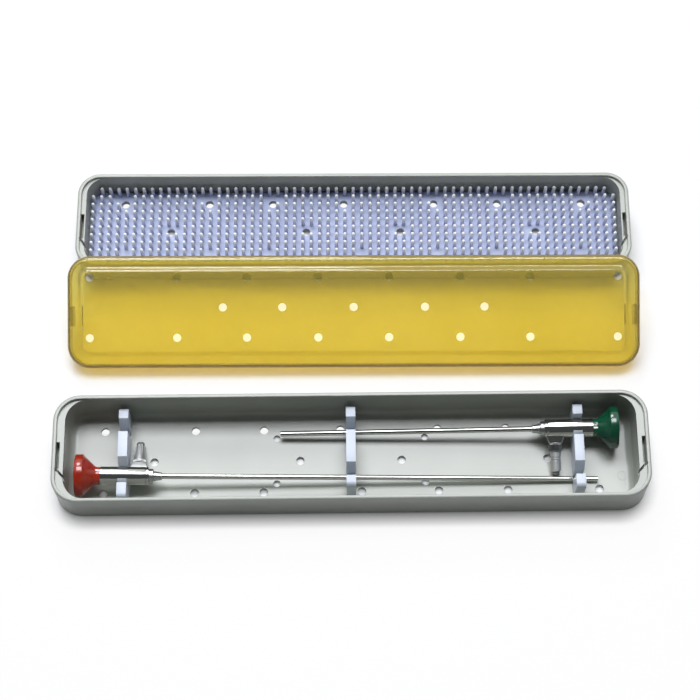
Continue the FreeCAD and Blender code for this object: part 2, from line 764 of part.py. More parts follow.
def bracket(name, side):
    """A plate across the base tray with a notch for each scope."""
    bracket_x = side * worked(BRACKET_X)
    low = size("floor_thickness")
    near_end = size(name + "_near_gap") - size("base_width") / 2
    plate = primitive("Box", name + "_plate",
                      V(bracket_x - size("bracket_thickness") / 2, near_end, low),
                      None, Length="Sizes.bracket_thickness", Height="Sizes.bracket_height",
                      Width=f"Sizes.base_width - Sizes.bracket_far_gap - Sizes.{name}_near_gap")
    doc.recompute()
    rounded = doc.addObject("Part::Fillet", name + "_rounded")
    rounded.Base = plate
    top = low + size("bracket_height")
    corners = [index for index, edge in enumerate(plate.Shape.Edges, 1)
               if edge.BoundBox.ZMin > top - 0.01 and edge.BoundBox.XLength > 1]
    radius = size("bracket_round")
    rounded.Edges = [(index, radius, radius) for index in corners]
    tools = notch_tools(name + "_red", bracket_x, "red")
    tools += notch_tools(name + "_green", bracket_x, "green")
    for index, (x, y) in enumerate(stud_places()):
        if abs(worked(x) - bracket_x) < 1:
            tools.append(cylinder(f"{name}_stud_hole{index}",
                                  "Sizes.stud_bore + 2 * Sizes.stud_clearance",
                                  "Sizes.floor_thickness - 1",
                                  "Sizes.stud_length + 2 * Sizes.stud_clearance",
                                  V(bracket_x, worked(y), 0)))
    return keep(cut(name, rounded, tools), name)


def bracket_studs():
    """The studs that hold the brackets down, one group of separate solids."""
    gap = "Sizes.stud_clearance"
    studs = [cylinder(f"bracket_stud{index}", "Sizes.stud_bore", gap, "Sizes.stud_length",
                      V(worked(x), worked(y), 0)) for index, (x, y) in enumerate(stud_places())]
    group = doc.addObject("Part::Compound", "bracket_studs_group")
    group.Links = studs
    return keep(group, "bracket_studs")


def rounded_wire(length, width, radius, height):
    """A flat rounded rectangle as one wire."""
    x, y, r = length / 2, width / 2, radius
    edges = []
    for index, (sx, sy) in enumerate([(1, 1), (-1, 1), (-1, -1), (1, -1)]):
        centre = V(sx * (x - r), sy * (y - r), height)
        start = QUARTER_TURN * index
        edges.append(Part.makeCircle(r, centre, V(0, 0, 1), start, start + QUARTER_TURN))
    joined = []
    for index, edge in enumerate(edges):
        following = edges[(index + 1) % 4]
        joined += [edge, Part.makeLine(edge.Vertexes[-1].Point, following.Vertexes[0].Point)]
    return Part.Wire(joined)


def mat_outline():
    """Length, width and corner of the mat, which fills the insert tray's floor."""
    inset = 2 * (size("wall") + size("mat_margin"))
    length = worked(LENGTH["insert"]) - inset - 2 * size("insert_shelf")
    return length, worked(WIDTH["insert"]) - inset, size("mat_corner")


def finger_places(hole_places):
    """Where fingers stand: a square grid inside the mat's outline, clear of its holes."""
    length, width, corner = mat_outline()
    pitch, half = size("finger_pitch"), size("finger_foot") / 2
    columns, rows = int((length / 2 - half) / pitch), int((width / 2 - half) / pitch)
    clear = size("hole_bore") / 2 + half + size("finger_hole_margin")
    places = []
    for column in range(-columns, columns + 1):
        for line in range(-rows, rows + 1):
            x, y = column * pitch, line * pitch
            past_x = abs(x) + half - (length / 2 - corner)
            past_y = abs(y) + half - (width / 2 - corner)
            in_corner = min(past_x, past_y) > 0 and math.hypot(past_x, past_y) > corner
            near_hole = any(math.hypot(x - hx, y - hy) < clear for hx, hy in hole_places)
            if not in_corner and not near_hole:
                places.append((x, y))
    return places


def finger_mat():
    """The soft mat: a sheet with drain holes and a field of four-sided tapered fingers."""
    low = size("floor_thickness") + size("mat_gap")
    high = low + size("mat_thickness")
    half, tip = size("finger_foot") / 2, high + size("finger_height")
    hole_places = [(worked(x), worked(y)) for x, y, _ in tray_holes("Sizes.insert_hole_shrink")]
    outline = mat_outline()
    radius = size("hole_bore") / 2
    bottom_holes = [Part.Wire(Part.makeCircle(radius, V(x, y, low))) for x, y in hole_places]
    top_holes = [Part.Wire(Part.makeCircle(radius, V(x, y, high))) for x, y in hole_places]
    bottom_edge, top_edge = rounded_wire(*outline, low), rounded_wire(*outline, high)
    feet, sides = [], []
    for x, y in finger_places(hole_places):
        ring = [V(x + sx * half, y + sy * half, high)
                for sx, sy in ((1, 1), (-1, 1), (-1, -1), (1, -1))]
        feet.append(Part.makePolygon(ring + ring[:1]))
        for index in range(4):
            side = [ring[index], ring[(index + 1) % 4], V(x, y, tip), ring[index]]
            sides.append(Part.Face(Part.makePolygon(side)))
    faces = [Part.makeFace([bottom_edge] + bottom_holes, "Part::FaceMakerBullseye"),
             Part.makeFace([top_edge] + top_holes + feet, "Part::FaceMakerBullseye")]
    up = V(0, 0, high - low)
    for edge in bottom_edge.Edges:
        faces.append(edge.extrude(up))
    for hole in bottom_holes:
        faces.append(hole.Edges[0].extrude(up))
    shell = Part.Shell(faces + sides)
    shell.sewShape()
    solid = Part.Solid(Part.Shell(shell.Faces))
    if solid.Volume < 0:
        solid.reverse()
    item = doc.addObject("Part::Feature", "finger_mat_field")
    item.Shape = solid
    return keep(item, "finger_mat", insert_place())


def lid_slope():
    """How far up the lid's underside the insert's near rim touches it."""
    return worked(WIDTH["lid"]) - size("lid_past_rim")


def lid_tilt():
    """The angle at which the lid leans: the far corners of its skirt lie on the insert's rim."""
    return math.asin((size("insert_height") + size("rest_gap")) / lid_slope())


def lid_place():
    """The lid's own frame: its middle at the underside, leaning back on the insert tray."""
    tilt = FreeCAD.Rotation(V(1, 0, 0), math.degrees(lid_tilt()))
    rim = V(0, size("wall") - size("rim_round") - worked(WIDTH["insert"]) / 2, 0)
    near = rim - V(0, lid_slope() * math.cos(lid_tilt()), 0)
    middle = near + tilt.multVec(V(0, worked(WIDTH["lid"]) / 2, 0))
    return insert_place().multiply(FreeCAD.Placement(middle, tilt))


def lid_holes():
    """Places of the lid's vent holes, as formulas."""
    shift = "Sizes.lid_row_shift"
    holes = [("0", shift)]
    for side in (-1, 1):
        for across in (-1, 1):
            for place in (LID_OUTER_HOLE_X, "Sizes.lid_second_hole", "Sizes.lid_third_hole",
                          "Sizes.lid_fourth_hole"):
                holes.append((f"{side} * {place}", f"{across} * Sizes.lid_row_spacing + {shift}"))
        for hole in ("lid_wide_middle_hole", "lid_near_middle_hole"):
            holes.append((f"{side} * Sizes.{hole}", shift))
    return holes


def lid():
    """The clear lid: a skirt, a flat band and a raised panel with vent holes."""
    body = new_body("lid")
    length, width, corner = LENGTH["lid"], WIDTH["lid"], "Sizes.lid_corner"
    height, wall = "Sizes.lid_height", "Sizes.lid_wall"
    rise = "Sizes.lid_step_rise"

    outline = rounded_section(body, "lid_outline", length, width, corner, "0")
    pad(body, "lid_skirt", outline, height)
    fillet(body, "lid_brow_round", "Sizes.lid_round", lies_at(size("lid_height")))

    def step_sections(label, inset, low, high):
        """The raised panel's foot and top outlines, drawn in by an inset."""
        out, run = f"2 * (Sizes.lid_band + {inset})", "2 * Sizes.lid_step_run"
        tight = f"{corner} - Sizes.lid_band - {inset}"
        lower = rounded_section(body, label + "_step_foot", f"{length} - {out}",
                                f"{width} - {out}", tight, low)
        upper = rounded_section(body, label + "_step_top", f"{length} - {out} - {run}",
                                f"{width} - {out} - {run}", f"{tight} - Sizes.lid_step_run / 2",
                                high)
        return lower, upper

    loft(body, "AdditiveLoft", "lid_panel",
         *step_sections("lid_outer", "0", height, f"{height} + {rise}"))
    hollow = rounded_section(body, "lid_hollow_outline", f"{length} - 2 * {wall}",
                             f"{width} - 2 * {wall}", f"{corner} - {wall}", "0")
    pocket(body, "lid_hollow", hollow, f"{height} - {wall}", upward=True)
    loft(body, "SubtractiveLoft", "lid_panel_hollow",
         *step_sections("lid_inner", "0.6", f"{height} - {wall}", f"{height} + {rise} - {wall}"))

    vents = new_sketch(body, "lid_vents")
    for x, y in lid_holes():
        add_circle(vents, x, y, "Sizes.hole_bore")
    pocket(body, "lid_vent_cut", vents)
    return keep(body, "lid", lid_place())


def lid_latch(name, side):
    """A springy tongue inside the lid's end, whose barb snaps into the tray's end slot."""
    length = "Sizes.lid_height - Sizes.lid_wall - Sizes.rest_gap + Sizes.latch_reach"
    skirt = worked(LENGTH["lid"]) / 2 - size("lid_wall")
    face = skirt - size("latch_back") - size("latch_thickness")
    turn = FreeCAD.Rotation(V(0, 0, 1), 0 if side > 0 else 180)
    middle = V(0, size("latch_middle"), -size("latch_reach"))
    half = size("latch_width") / 2
    tongue = primitive("Box", name + "_tongue", middle + turn.multVec(V(face, -half, 0)), turn,
                       Length="Sizes.latch_thickness", Width="Sizes.latch_width", Height=length)
    barb = doc.addObject("Part::Wedge", name + "_barb")
    for prop, formula in {"Xmin": "0", "Xmax": "Sizes.latch_barb", "X2min": "0", "X2max": "0.1",
                          "Ymin": "0", "Ymax": "2 * Sizes.latch_barb",
                          "Zmin": "-Sizes.latch_width / 2", "Zmax": "Sizes.latch_width / 2",
                          "Z2min": "-Sizes.latch_width / 2",
                          "Z2max": "Sizes.latch_width / 2"}.items():
        barb.setExpression(prop, formula)
    down = turn.multiply(FreeCAD.Rotation(V(1, 0, 0), -90))
    back = V(face + size("latch_thickness"), 0, 2 * size("latch_barb"))
    barb.Placement = FreeCAD.Placement(middle + turn.multVec(back), down)
    return keep(fuse(name + "_joined", [tongue, barb]), name, lid_place())


def build():
    """Makes every sub-part, checks it and writes its file."""
    base_tray()
    for name, side in (("left_bracket", -1), ("middle_bracket", 0), ("right_bracket", 1)):
        bracket(name, side)
    bracket_studs()
    scope("red")
    scope("green")
    insert_tray()
    finger_mat()
    lid()
    lid_latch("left_latch", -1)
    lid_latch("right_latch", 1)
    doc.recompute()
    for item in doc.Objects:
        if "Invalid" in item.State or "Error" in item.State:
            raise RuntimeError(f"{item.Name} failed: {item.State}")
    os.makedirs("parts", exist_ok=True)
    for item in finished:
        shape = item.Shape
        if shape.isNull() or not shape.isValid():
            raise RuntimeError(f"{item.Label} is not a valid solid")
        shape.exportStep(os.path.join("parts", item.Label + ".step"))
        box = shape.BoundBox
        print(f"{item.Label}: {len(shape.Solids)} solid, {shape.Volume:.0f} mm3, "
              f"x {box.XMin:.1f} {box.XMax:.1f}, y {box.YMin:.1f} {box.YMax:.1f}, "
              f"z {box.ZMin:.2f} {box.ZMax:.2f}")


build()
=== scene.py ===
# %% [markdown]
# # A tray set for rigid scopes
#
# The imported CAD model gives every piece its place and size. This lesson dresses it: it
# builds rounder, finer meshes for what the camera sees, and gives each of them a finish
# made from nodes. All lengths are in metres, so a millimetre has a name of its own.

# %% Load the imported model
import json
import math

import bpy
from mathutils import Matrix, Vector


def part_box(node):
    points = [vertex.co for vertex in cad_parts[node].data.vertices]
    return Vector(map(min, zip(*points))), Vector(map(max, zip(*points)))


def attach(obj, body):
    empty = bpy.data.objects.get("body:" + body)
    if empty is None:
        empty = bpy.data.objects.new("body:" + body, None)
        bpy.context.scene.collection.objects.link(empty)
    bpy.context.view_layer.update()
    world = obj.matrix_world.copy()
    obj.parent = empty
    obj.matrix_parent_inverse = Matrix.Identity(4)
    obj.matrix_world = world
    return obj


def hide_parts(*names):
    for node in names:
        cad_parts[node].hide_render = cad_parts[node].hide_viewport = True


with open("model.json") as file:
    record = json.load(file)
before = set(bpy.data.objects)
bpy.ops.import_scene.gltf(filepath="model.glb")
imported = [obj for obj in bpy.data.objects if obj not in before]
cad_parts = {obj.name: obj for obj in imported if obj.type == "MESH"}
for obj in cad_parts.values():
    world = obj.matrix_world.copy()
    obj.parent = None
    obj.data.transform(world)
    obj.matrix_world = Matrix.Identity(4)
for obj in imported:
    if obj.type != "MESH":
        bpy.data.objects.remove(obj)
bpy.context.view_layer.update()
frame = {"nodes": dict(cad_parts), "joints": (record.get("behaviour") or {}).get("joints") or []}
MM = 0.001
print("CAD nodes:", len(frame["nodes"]))

# %% [markdown]
# ## Where things lie
#
# The trays are level, the scopes lie nose down and the lid leans, so each group gets its
# own frame: a matrix that carries a mesh drawn about the origin to its place. The frames
# are worked out from the CAD nodes and joints, so they follow the model.

# %% Frames for the groups
def middle_of(node):
    """The middle of a CAD node's box."""
    low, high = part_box(node)
    return (low + high) / 2


def frame_matrix(x_axis, y_axis, z_axis, origin):
    """A matrix whose columns are three axes and a place."""
    turn = Matrix((x_axis, y_axis, z_axis)).transposed().to_4x4()
    return Matrix.Translation(origin) @ turn


joints = {joint["name"]: joint for joint in frame["joints"]}
EYE_RECESS = 4.0 * MM
WINDOW_THICKNESS = 1.6 * MM


def scope_frame(colour):
    """Z runs from the scope's eye face to its tip, X along its light post."""
    window, tip = middle_of(colour + "_window"), middle_of(colour + "_tip_lens")
    along = (tip - window).normalized()
    post = Vector(joints[colour + "_adapter_turn"]["axis"])
    post = (post - along * post.dot(along)).normalized()
    eye_face = window - along * (EYE_RECESS + WINDOW_THICKNESS / 2)
    return frame_matrix(post, along.cross(post), along, eye_face)


LID_LENGTH, LID_HEIGHT, LID_WALL = 433.0 * MM, 15.0 * MM, 2.2 * MM
LATCH_BEHIND_WALL, LATCH_MIDDLE, LATCH_GAP = 1.0 * MM, -3.0 * MM, 0.3 * MM
latch_line = Vector(joints["right_latch_flex"]["axis"])
level = latch_line.cross(Vector((0, 0, 1))).normalized()
latch_root = Vector((LID_LENGTH / 2 - LID_WALL - LATCH_BEHIND_WALL, LATCH_MIDDLE,
                     LID_HEIGHT - LID_WALL - LATCH_GAP))
lid_frame = frame_matrix(level, latch_line, level.cross(latch_line), Vector((0, 0, 0)))
lid_frame.translation = Vector(joints["right_latch_flex"]["pos_m"]) - lid_frame @ latch_root
insert_middle = middle_of("insert_tray")
insert_middle.z = 0
insert_frame = frame_matrix(level, Vector((0, 0, 1)).cross(level), Vector((0, 0, 1)),
                            insert_middle)
print("lid leans", round(math.degrees(math.asin(latch_line.z)), 2), "degrees")

# %% [markdown]
# ## A small set of shop tools
#
# Every piece is made the way it would be made by hand in Edit Mode: add a primitive, grow
# it with extrude and inset, then finish it with modifiers. These helpers keep that short.
# The model that was loaded is still selected, so the selection is cleared before each step.

# %% Helpers for modelling
def clear_selection():
    """Leaves every object unselected."""
    if bpy.context.object and bpy.context.object.mode != "OBJECT":
        bpy.ops.object.mode_set(mode="OBJECT")
    bpy.ops.object.select_all(action="DESELECT")


def activate(piece):
    """Makes one piece the selected and active one."""
    clear_selection()
    piece.select_set(True)
    bpy.context.view_layer.objects.active = piece


def apply_modifier(piece, kind, **settings):
    """Adds a modifier with its settings and applies it."""
    activate(piece)
    modifier = piece.modifiers.new(kind.title(), kind)
    for name, value in settings.items():
        setattr(modifier, name, value)
    bpy.ops.object.modifier_apply(modifier=modifier.name)


def place(piece, matrix):
    """Carries a piece to its place and leaves its object at the origin."""
    activate(piece)
    piece.matrix_world = matrix @ piece.matrix_world
    bpy.ops.object.transform_apply(location=True, rotation=True, scale=True)


def clean(piece, merge=0.002 * MM):
    """Merges doubled corners and turns every face outwards."""
    activate(piece)
    bpy.ops.object.mode_set(mode="EDIT")
    bpy.ops.mesh.select_all(action="SELECT")
    bpy.ops.mesh.remove_doubles(threshold=merge)
    bpy.ops.mesh.normals_make_consistent(inside=False)
    bpy.ops.object.mode_set(mode="OBJECT")


def join(pieces, name):
    """Joins several pieces into one."""
    clear_selection()
    for piece in pieces:
        piece.select_set(True)
    bpy.context.view_layer.objects.active = pieces[0]
    bpy.ops.object.join()
    pieces[0].name = name
    return pieces[0]


def smooth(piece, degrees):
    """Shades smoothly over gentle turns and keeps corners crisp."""
    activate(piece)
    bpy.ops.object.shade_smooth_by_angle(angle=math.radians(degrees))


# %% [markdown]
# ## Turned pieces
#
# Eyecups, tubes, rings and shafts are turned on a lathe. A filled circle is extruded
# from station to station and scaled to each radius, which gives clean rings of faces. A
# profile starts and ends inside a flat end face, so its corners can be eased.

# %% A lathe
EASE_LIMIT = 0.4


def turned(name, stations, sides):
    """A closed solid about Z through stations of (distance, radius)."""
    clear_selection()
    distance, radius = stations[0]
    bpy.ops.mesh.primitive_circle_add(vertices=sides, radius=radius, fill_type="NGON",
                                      location=(0, 0, distance))
    piece = bpy.context.object
    piece.name = name
    bpy.ops.object.transform_apply(location=True)
    bpy.ops.object.mode_set(mode="EDIT")
    bpy.ops.mesh.select_mode(type="FACE")
    bpy.ops.mesh.select_all(action="SELECT")
    for (start, before), (end, after) in zip(stations, stations[1:]):
        bpy.ops.mesh.extrude_region_move(TRANSFORM_OT_translate={"value": (0, 0, end - start)})
        bpy.ops.transform.resize(value=(after / before, after / before, 1),
                                 center_override=(0, 0, end))
    bpy.ops.object.mode_set(mode="OBJECT")
    clean(piece)
    return piece


def eased(stations, ease):
    """Stations with each sharp outer corner cut back by a small chamfer."""
    made = [stations[0]]
    for index in range(1, len(stations) - 1):
        point = Vector(stations[index])
        for other in (Vector(stations[index - 1]), Vector(stations[index + 1])):
            step = other - point
            made.append(tuple(point + step.normalized() * min(ease, step.length * EASE_LIMIT)))
    return made + [stations[-1]]


def grooved(start, floor, depth, radius, slope=0.2 * MM):
    """Stations of one turned groove with sloping sides."""
    return [(start, radius), (start + slope, radius - depth),
            (start + slope + floor, radius - depth), (start + 2 * slope + floor, radius)]


# %% [markdown]
# ## Moulded trays
#
# A tray is a rounded rectangle that is drawn up, rounded over its rim and sunk again.
# Each quarter round is a run of small insets that rise or fall with the angle, so walls
# keep the same thickness around the corners. That is hard to get by scaling alone.

# %% A mould for rounded boxes
ROUND_STEPS = 5
FACING = 0.9


def quarter(radius, turn_in):
    """(inset, rise) steps of a quarter round: from upright to level, or back again."""
    made = []
    for step in range(ROUND_STEPS):
        start, end = (math.pi / 2 * (step + more) / ROUND_STEPS for more in (0, 1))
        run = radius * (math.cos(start) - math.cos(end))
        climb = radius * (math.sin(end) - math.sin(start))
        made.append((run, climb) if turn_in else (climb, run))
    return made


def rounded_plate(name, length, width, corner, height, segments=12):
    """A flat face with rounded corners."""
    clear_selection()
    bpy.ops.mesh.primitive_plane_add(size=1, location=(0, 0, height))
    piece = bpy.context.object
    piece.name = name
    piece.scale = (length, width, 1)
    bpy.ops.object.transform_apply(location=True, scale=True)
    bpy.ops.object.mode_set(mode="EDIT")
    bpy.ops.mesh.select_mode(type="VERT")
    bpy.ops.mesh.select_all(action="SELECT")
    bpy.ops.mesh.bevel(offset=corner, segments=segments, affect="VERTICES", profile=0.5)
    bpy.ops.object.mode_set(mode="OBJECT")
    return piece


def pick_faces(piece, test):
    """Selects the faces that pass a test and stays in Edit Mode."""
    activate(piece)
    bpy.ops.object.mode_set(mode="EDIT")
    bpy.ops.mesh.select_mode(type="FACE")
    bpy.ops.mesh.select_all(action="DESELECT")
    bpy.ops.object.mode_set(mode="OBJECT")
    for face in piece.data.polygons:
        face.select = test(face)
    bpy.ops.object.mode_set(mode="EDIT")


def pull(height):
    """Extrudes the picked face straight up or down."""
    bpy.ops.mesh.extrude_region_move(TRANSFORM_OT_translate={"value": (0, 0, height)})


def creep(steps, sign=1):
    """Insets the picked face step by step while it rises, or falls."""
    for run, climb in steps:
        bpy.ops.mesh.inset(thickness=run, depth=sign * climb, use_even_offset=True)


def cut_away(piece, cutter):
    """Takes one solid out of another and removes the cutter."""
    apply_modifier(piece, "BOOLEAN", object=cutter, operation="DIFFERENCE", solver="EXACT")
    bpy.data.objects.remove(cutter)


def drill(piece, holes, low, high):
    """Cuts upright round holes, given as (x, y, diameter)."""
    cutters = []
    for x, y, bore in holes:
        clear_selection()
        bpy.ops.mesh.primitive_cylinder_add(vertices=32, radius=bore / 2, depth=high - low,
                                            location=(x, y, (low + high) / 2))
        cutters.append(bpy.context.object)
    cut_away(piece, join(cutters, "cutter"))


# %% [markdown]
# ## Materials
#
# Colours are written as the eye sees them, in hex, and one function turns them into the
# linear values that the renderer mixes. The next ones add a node with its links, a math
# node, a change of range, a noise and a surface shader. The others make what most finishes
# share: a new material, a drift in tone, a fine bump and a drift in roughness. Every grain
# is a real size in millimetres.

# %% Helpers for materials
def colour(hex_code):
    """Linear red, green, blue and alpha of an sRGB hex colour."""
    parts = [int(hex_code[i:i + 2], 16) / 255 for i in (1, 3, 5)]
    return [c / 12.92 if c <= 0.04045 else ((c + 0.055) / 1.055) ** 2.4 for c in parts] + [1]


def add_node(tree, kind, settings=None, inputs=None):
    """Adds a node, sets its properties, and fills or links its inputs."""
    node = tree.nodes.new(kind)
    for name, value in (settings or {}).items():
        setattr(node, name, value)
    for name, value in (inputs or {}).items():
        if isinstance(value, bpy.types.NodeSocket):
            tree.links.new(value, node.inputs[name])
        else:
            node.inputs[name].default_value = value
    return node


def computed(tree, operation, *values):
    """The outcome of a math node."""
    node = add_node(tree, "ShaderNodeMath", {"operation": operation}, dict(enumerate(values)))
    return node.outputs[0]


def spread(tree, value, low, high, to_low=0.0, to_high=1.0):
    """A value whose range is spread over another one, and kept inside it."""
    node = add_node(tree, "ShaderNodeMapRange", inputs={
        "Value": value, "From Min": low, "From Max": high, "To Min": to_low, "To Max": to_high})
    return node.outputs["Result"]


def noise(tree, where, grain, detail):
    """A noise whose grain has a real size in millimetres."""
    node = add_node(tree, "ShaderNodeTexNoise", inputs={
        "Vector": where, "Scale": 1 / (grain * MM), "Detail": detail})
    return node.outputs["Fac"]


def principled(tree, output, inputs):
    """The surface shader, filled in and linked to the output."""
    shader = add_node(tree, "ShaderNodeBsdfPrincipled", inputs=inputs)
    tree.links.new(shader.outputs[0], output.inputs["Surface"])


def new_material(name):
    """An empty material with its output, and the place on the object in metres."""
    material = bpy.data.materials.new(name)
    material.use_nodes = True
    tree = material.node_tree
    tree.nodes.clear()
    output = add_node(tree, "ShaderNodeOutputMaterial")
    spot = add_node(tree, "ShaderNodeTexCoord").outputs["Object"]
    return material, tree, output, spot


def fill_ramp(ramp, stops):
    """Gives a colour ramp its stops, as (position, colour)."""
    elements = ramp.color_ramp.elements
    while len(elements) < len(stops):
        elements.new(1.0)
    for element, (position, tone) in zip(elements, stops):
        element.position = position
        element.color = tone


def two_tones(tree, spot, first, second, grain):
    """A soft, large scale drift between two colours."""
    ramp = add_node(tree, "ShaderNodeValToRGB", inputs={"Fac": noise(tree, spot, grain, 3.0)})
    fill_ramp(ramp, [(0.4, colour(first)), (0.6, colour(second))])
    return ramp.outputs["Color"]


def grain_bump(tree, spot, grain, height, stretch=(1, 1, 1)):
    """A bump from noise of a real grain size and height in millimetres."""
    mapped = add_node(tree, "ShaderNodeMapping", inputs={"Vector": spot, "Scale": stretch})
    bump = add_node(tree, "ShaderNodeBump", inputs={
        "Height": noise(tree, mapped.outputs["Vector"], grain, 4.0), "Distance": height * MM,
        "Strength": 1.0})
    return bump.outputs["Normal"]


def rough_drift(tree, spot, grain, low, high):
    """Roughness that drifts between two values, as handling leaves it."""
    return spread(tree, noise(tree, spot, grain, 2.0), 0.35, 0.65, low, high)


# %% [markdown]
# The trays and brackets are moulded from a steam proof polymer. A mould with a fine
# spark eroded skin leaves a satin surface, so highlights are broad and soft. The skin's
# grain is drawn at 0.8 mm, coarser than the real one, which would be too fine to show. The
# roughness drifts only a little, because a larger drift would mottle the sheen on the walls.

# %% Moulded polymers
SKIN_GRAIN, TONE_DRIFT, SHEEN_DRIFT, SHEEN_SPREAD = 0.8, 60, 70, 0.012


def satin_polymer(name, first, second, roughness, height):
    """Moulded satin plastic with a faint drift in tone and a fine skin."""
    material, tree, output, spot = new_material(name)
    principled(tree, output, {
        "Base Color": two_tones(tree, spot, first, second, TONE_DRIFT),
        "Roughness": rough_drift(tree, spot, SHEEN_DRIFT, roughness - SHEEN_SPREAD,
                                 roughness + SHEEN_SPREAD),
        "Normal": grain_bump(tree, spot, SKIN_GRAIN, height), "IOR": 1.55})
    return material


grey_polymer = satin_polymer("moulded_grey_polymer", "#9ea198", "#a2a59c", 0.32, 0.02)
white_polymer = satin_polymer("moulded_bracket_nylon", "#b6bfcc", "#c3cbd6", 0.38, 0.015)
print("polymers:", grey_polymer.name, white_polymer.name)

# %% [markdown]
# The finger mat is cast silicone. Light enters it and comes out bluish, which subsurface
# scattering gives. The tips catch the light and look whiter than the sheet, so a painted
# highlight runs the tone from bluish to near white with the height above the table.

# %% Cast silicone
SHEET_LEVEL, TIP_LEVEL = 5.0 * MM, 16.5 * MM


def cast_silicone():
    """Milky, bluish silicone, painted near white towards the finger tips as a highlight."""
    material, tree, output, spot = new_material("cast_silicone")
    height = add_node(tree, "ShaderNodeSeparateXYZ", inputs={0: spot})
    # Painted highlight: the tone runs to near white towards the finger tips.
    painted_tip_highlight = spread(tree, height.outputs["Z"], SHEET_LEVEL, TIP_LEVEL)
    tone = add_node(tree, "ShaderNodeMixRGB", inputs={
        0: painted_tip_highlight, 1: two_tones(tree, spot, "#9fa8c6", "#a8b1cd", 40),
        2: colour("#f3f5fb")})
    principled(tree, output, {
        "Base Color": tone.outputs[0],
        "Roughness": rough_drift(tree, spot, 10, 0.3, 0.42),
        "Normal": grain_bump(tree, spot, 1.2, 0.02), "IOR": 1.41,
        "Subsurface Weight": 0.35, "Subsurface Radius": (0.8, 0.9, 1.2),
        "Subsurface Scale": 2.5 * MM})
    return material


silicone = cast_silicone()
print("mat:", silicone.name)

# %% [markdown]
# The lid is a clear amber polymer. Light crosses two faces of a thin wall, and each
# crossing tints it, so the colour of one face is much paler than the lid looks. Inside the
# wall the light is absorbed as it goes, so the edges and the skirt, where it goes a long
# way, look deeper. Shadow rays see a plain tinted window, because light would else never
# reach what lies below.

# %% Clear amber polymer
def amber_polymer():
    """Glossy, clear amber plastic, deeper where it is seen edge on."""
    material, tree, output, spot = new_material("clear_amber_polymer")
    shader = add_node(tree, "ShaderNodeBsdfPrincipled", inputs={
        "Base Color": two_tones(tree, spot, "#e8df88", "#ebe290", 90),
        "Roughness": 0.06, "IOR": 1.49, "Transmission Weight": 0.85,
        "Normal": grain_bump(tree, spot, 30, 0.03)})
    tinted = add_node(tree, "ShaderNodeBsdfTransparent", inputs={"Color": colour("#ebe498")})
    rays = add_node(tree, "ShaderNodeLightPath")
    mix = add_node(tree, "ShaderNodeMixShader", inputs={
        0: rays.outputs["Is Shadow Ray"], 1: shader.outputs[0], 2: tinted.outputs[0]})
    depth = add_node(tree, "ShaderNodeVolumeAbsorption", inputs={
        "Color": colour("#dacb58"), "Density": 330.0})
    tree.links.new(mix.outputs[0], output.inputs["Surface"])
    tree.links.new(depth.outputs[0], output.inputs["Volume"])
    return material


amber = amber_polymer()
print("lid:", amber.name)

# %% [markdown]
# Scope heads and shafts are stainless steel. The tubes are polished on a lathe, which
# leaves faint rings across the axis, so the bump is squeezed along X, the way the scopes
# lie. The collars keep a satin finish. The light adapters, and the red scope's block and
# ring, are blasted with glass beads, which leaves them matt and pale. The eyecups are
# glossy, coloured plastic, one red and one green to tell the scopes apart.

# %% Steel, eyecups, glass and enamel
ACROSS_X = (6, 1, 1)


def steel(name, hex_code, low, high, grain, height):
    """Stainless steel whose roughness drifts between two values."""
    material, tree, output, spot = new_material(name)
    principled(tree, output, {
        "Base Color": colour(hex_code), "Metallic": 1.0,
        "Roughness": rough_drift(tree, spot, 6, low, high),
        "Normal": grain_bump(tree, spot, grain, height, ACROSS_X)})
    return material


def glossy_cup(name, first, second):
    """Hard, glossy moulded plastic with a thin clear coat."""
    material, tree, output, spot = new_material(name)
    principled(tree, output, {
        "Base Color": two_tones(tree, spot, first, second, 9),
        "Roughness": rough_drift(tree, spot, 7, 0.16, 0.26),
        "Normal": grain_bump(tree, spot, 3, 0.01), "Coat Weight": 0.4,
        "Coat Roughness": 0.08})
    return material


def coated_glass():
    """A dark window with a faint coating."""
    material, tree, output, spot = new_material("coated_glass")
    principled(tree, output, {
        "Base Color": two_tones(tree, spot, "#10181c", "#182630", 4),
        "Roughness": 0.04, "IOR": 1.52, "Coat Weight": 0.5})
    return material


polished = steel("polished_stainless", "#bdbdb9", 0.08, 0.16, 2.0, 0.004)
blasted = steel("bead_blasted_stainless", "#cfd0ce", 0.42, 0.5, 0.6, 0.006)
satin = steel("satin_stainless", "#b4b5b4", 0.24, 0.34, 1.0, 0.006)
dark_steel = steel("knurled_stainless", "#8b8d8c", 0.28, 0.4, 0.8, 0.01)
glass = coated_glass()
enamel = glossy_cup("white_enamel", "#eceae6", "#f4f2ee")
cup_paint = {"red": glossy_cup("red_cup_plastic", "#8e1c0a", "#a52f12"),
             "green": glossy_cup("green_cup_plastic", "#06402a", "#0a4d33")}
print("materials:", len(bpy.data.materials))

# %% [markdown]
# ## Dressing a piece
#
# Every finished piece gets its shading, its material and the body that it rides on, and
# the CAD nodes that it stands for are hidden.

# %% A helper that dresses a piece
def dress(piece, material, body, nodes, angle=35):
    """Gives a finished piece its shading, its finish and its body, and hides the nodes it stands
    for.
    """
    smooth(piece, angle)
    piece.data.materials.clear()
    piece.data.materials.append(material)
    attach(piece, body)
    if nodes:
        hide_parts(*nodes)


# %% [markdown]
# ## The two trays
#
# Both trays come from one mould shape: a rounded foot, an upright wall, a rounded rim, a
# step down to the end shelves and a floor with a soft inner corner. Only the sizes
# differ. The lid's latches snap into a slot in each end shelf. Boxes cut the slots, and
# cylinders drill the drain holes, in rows that mirror from end to end.

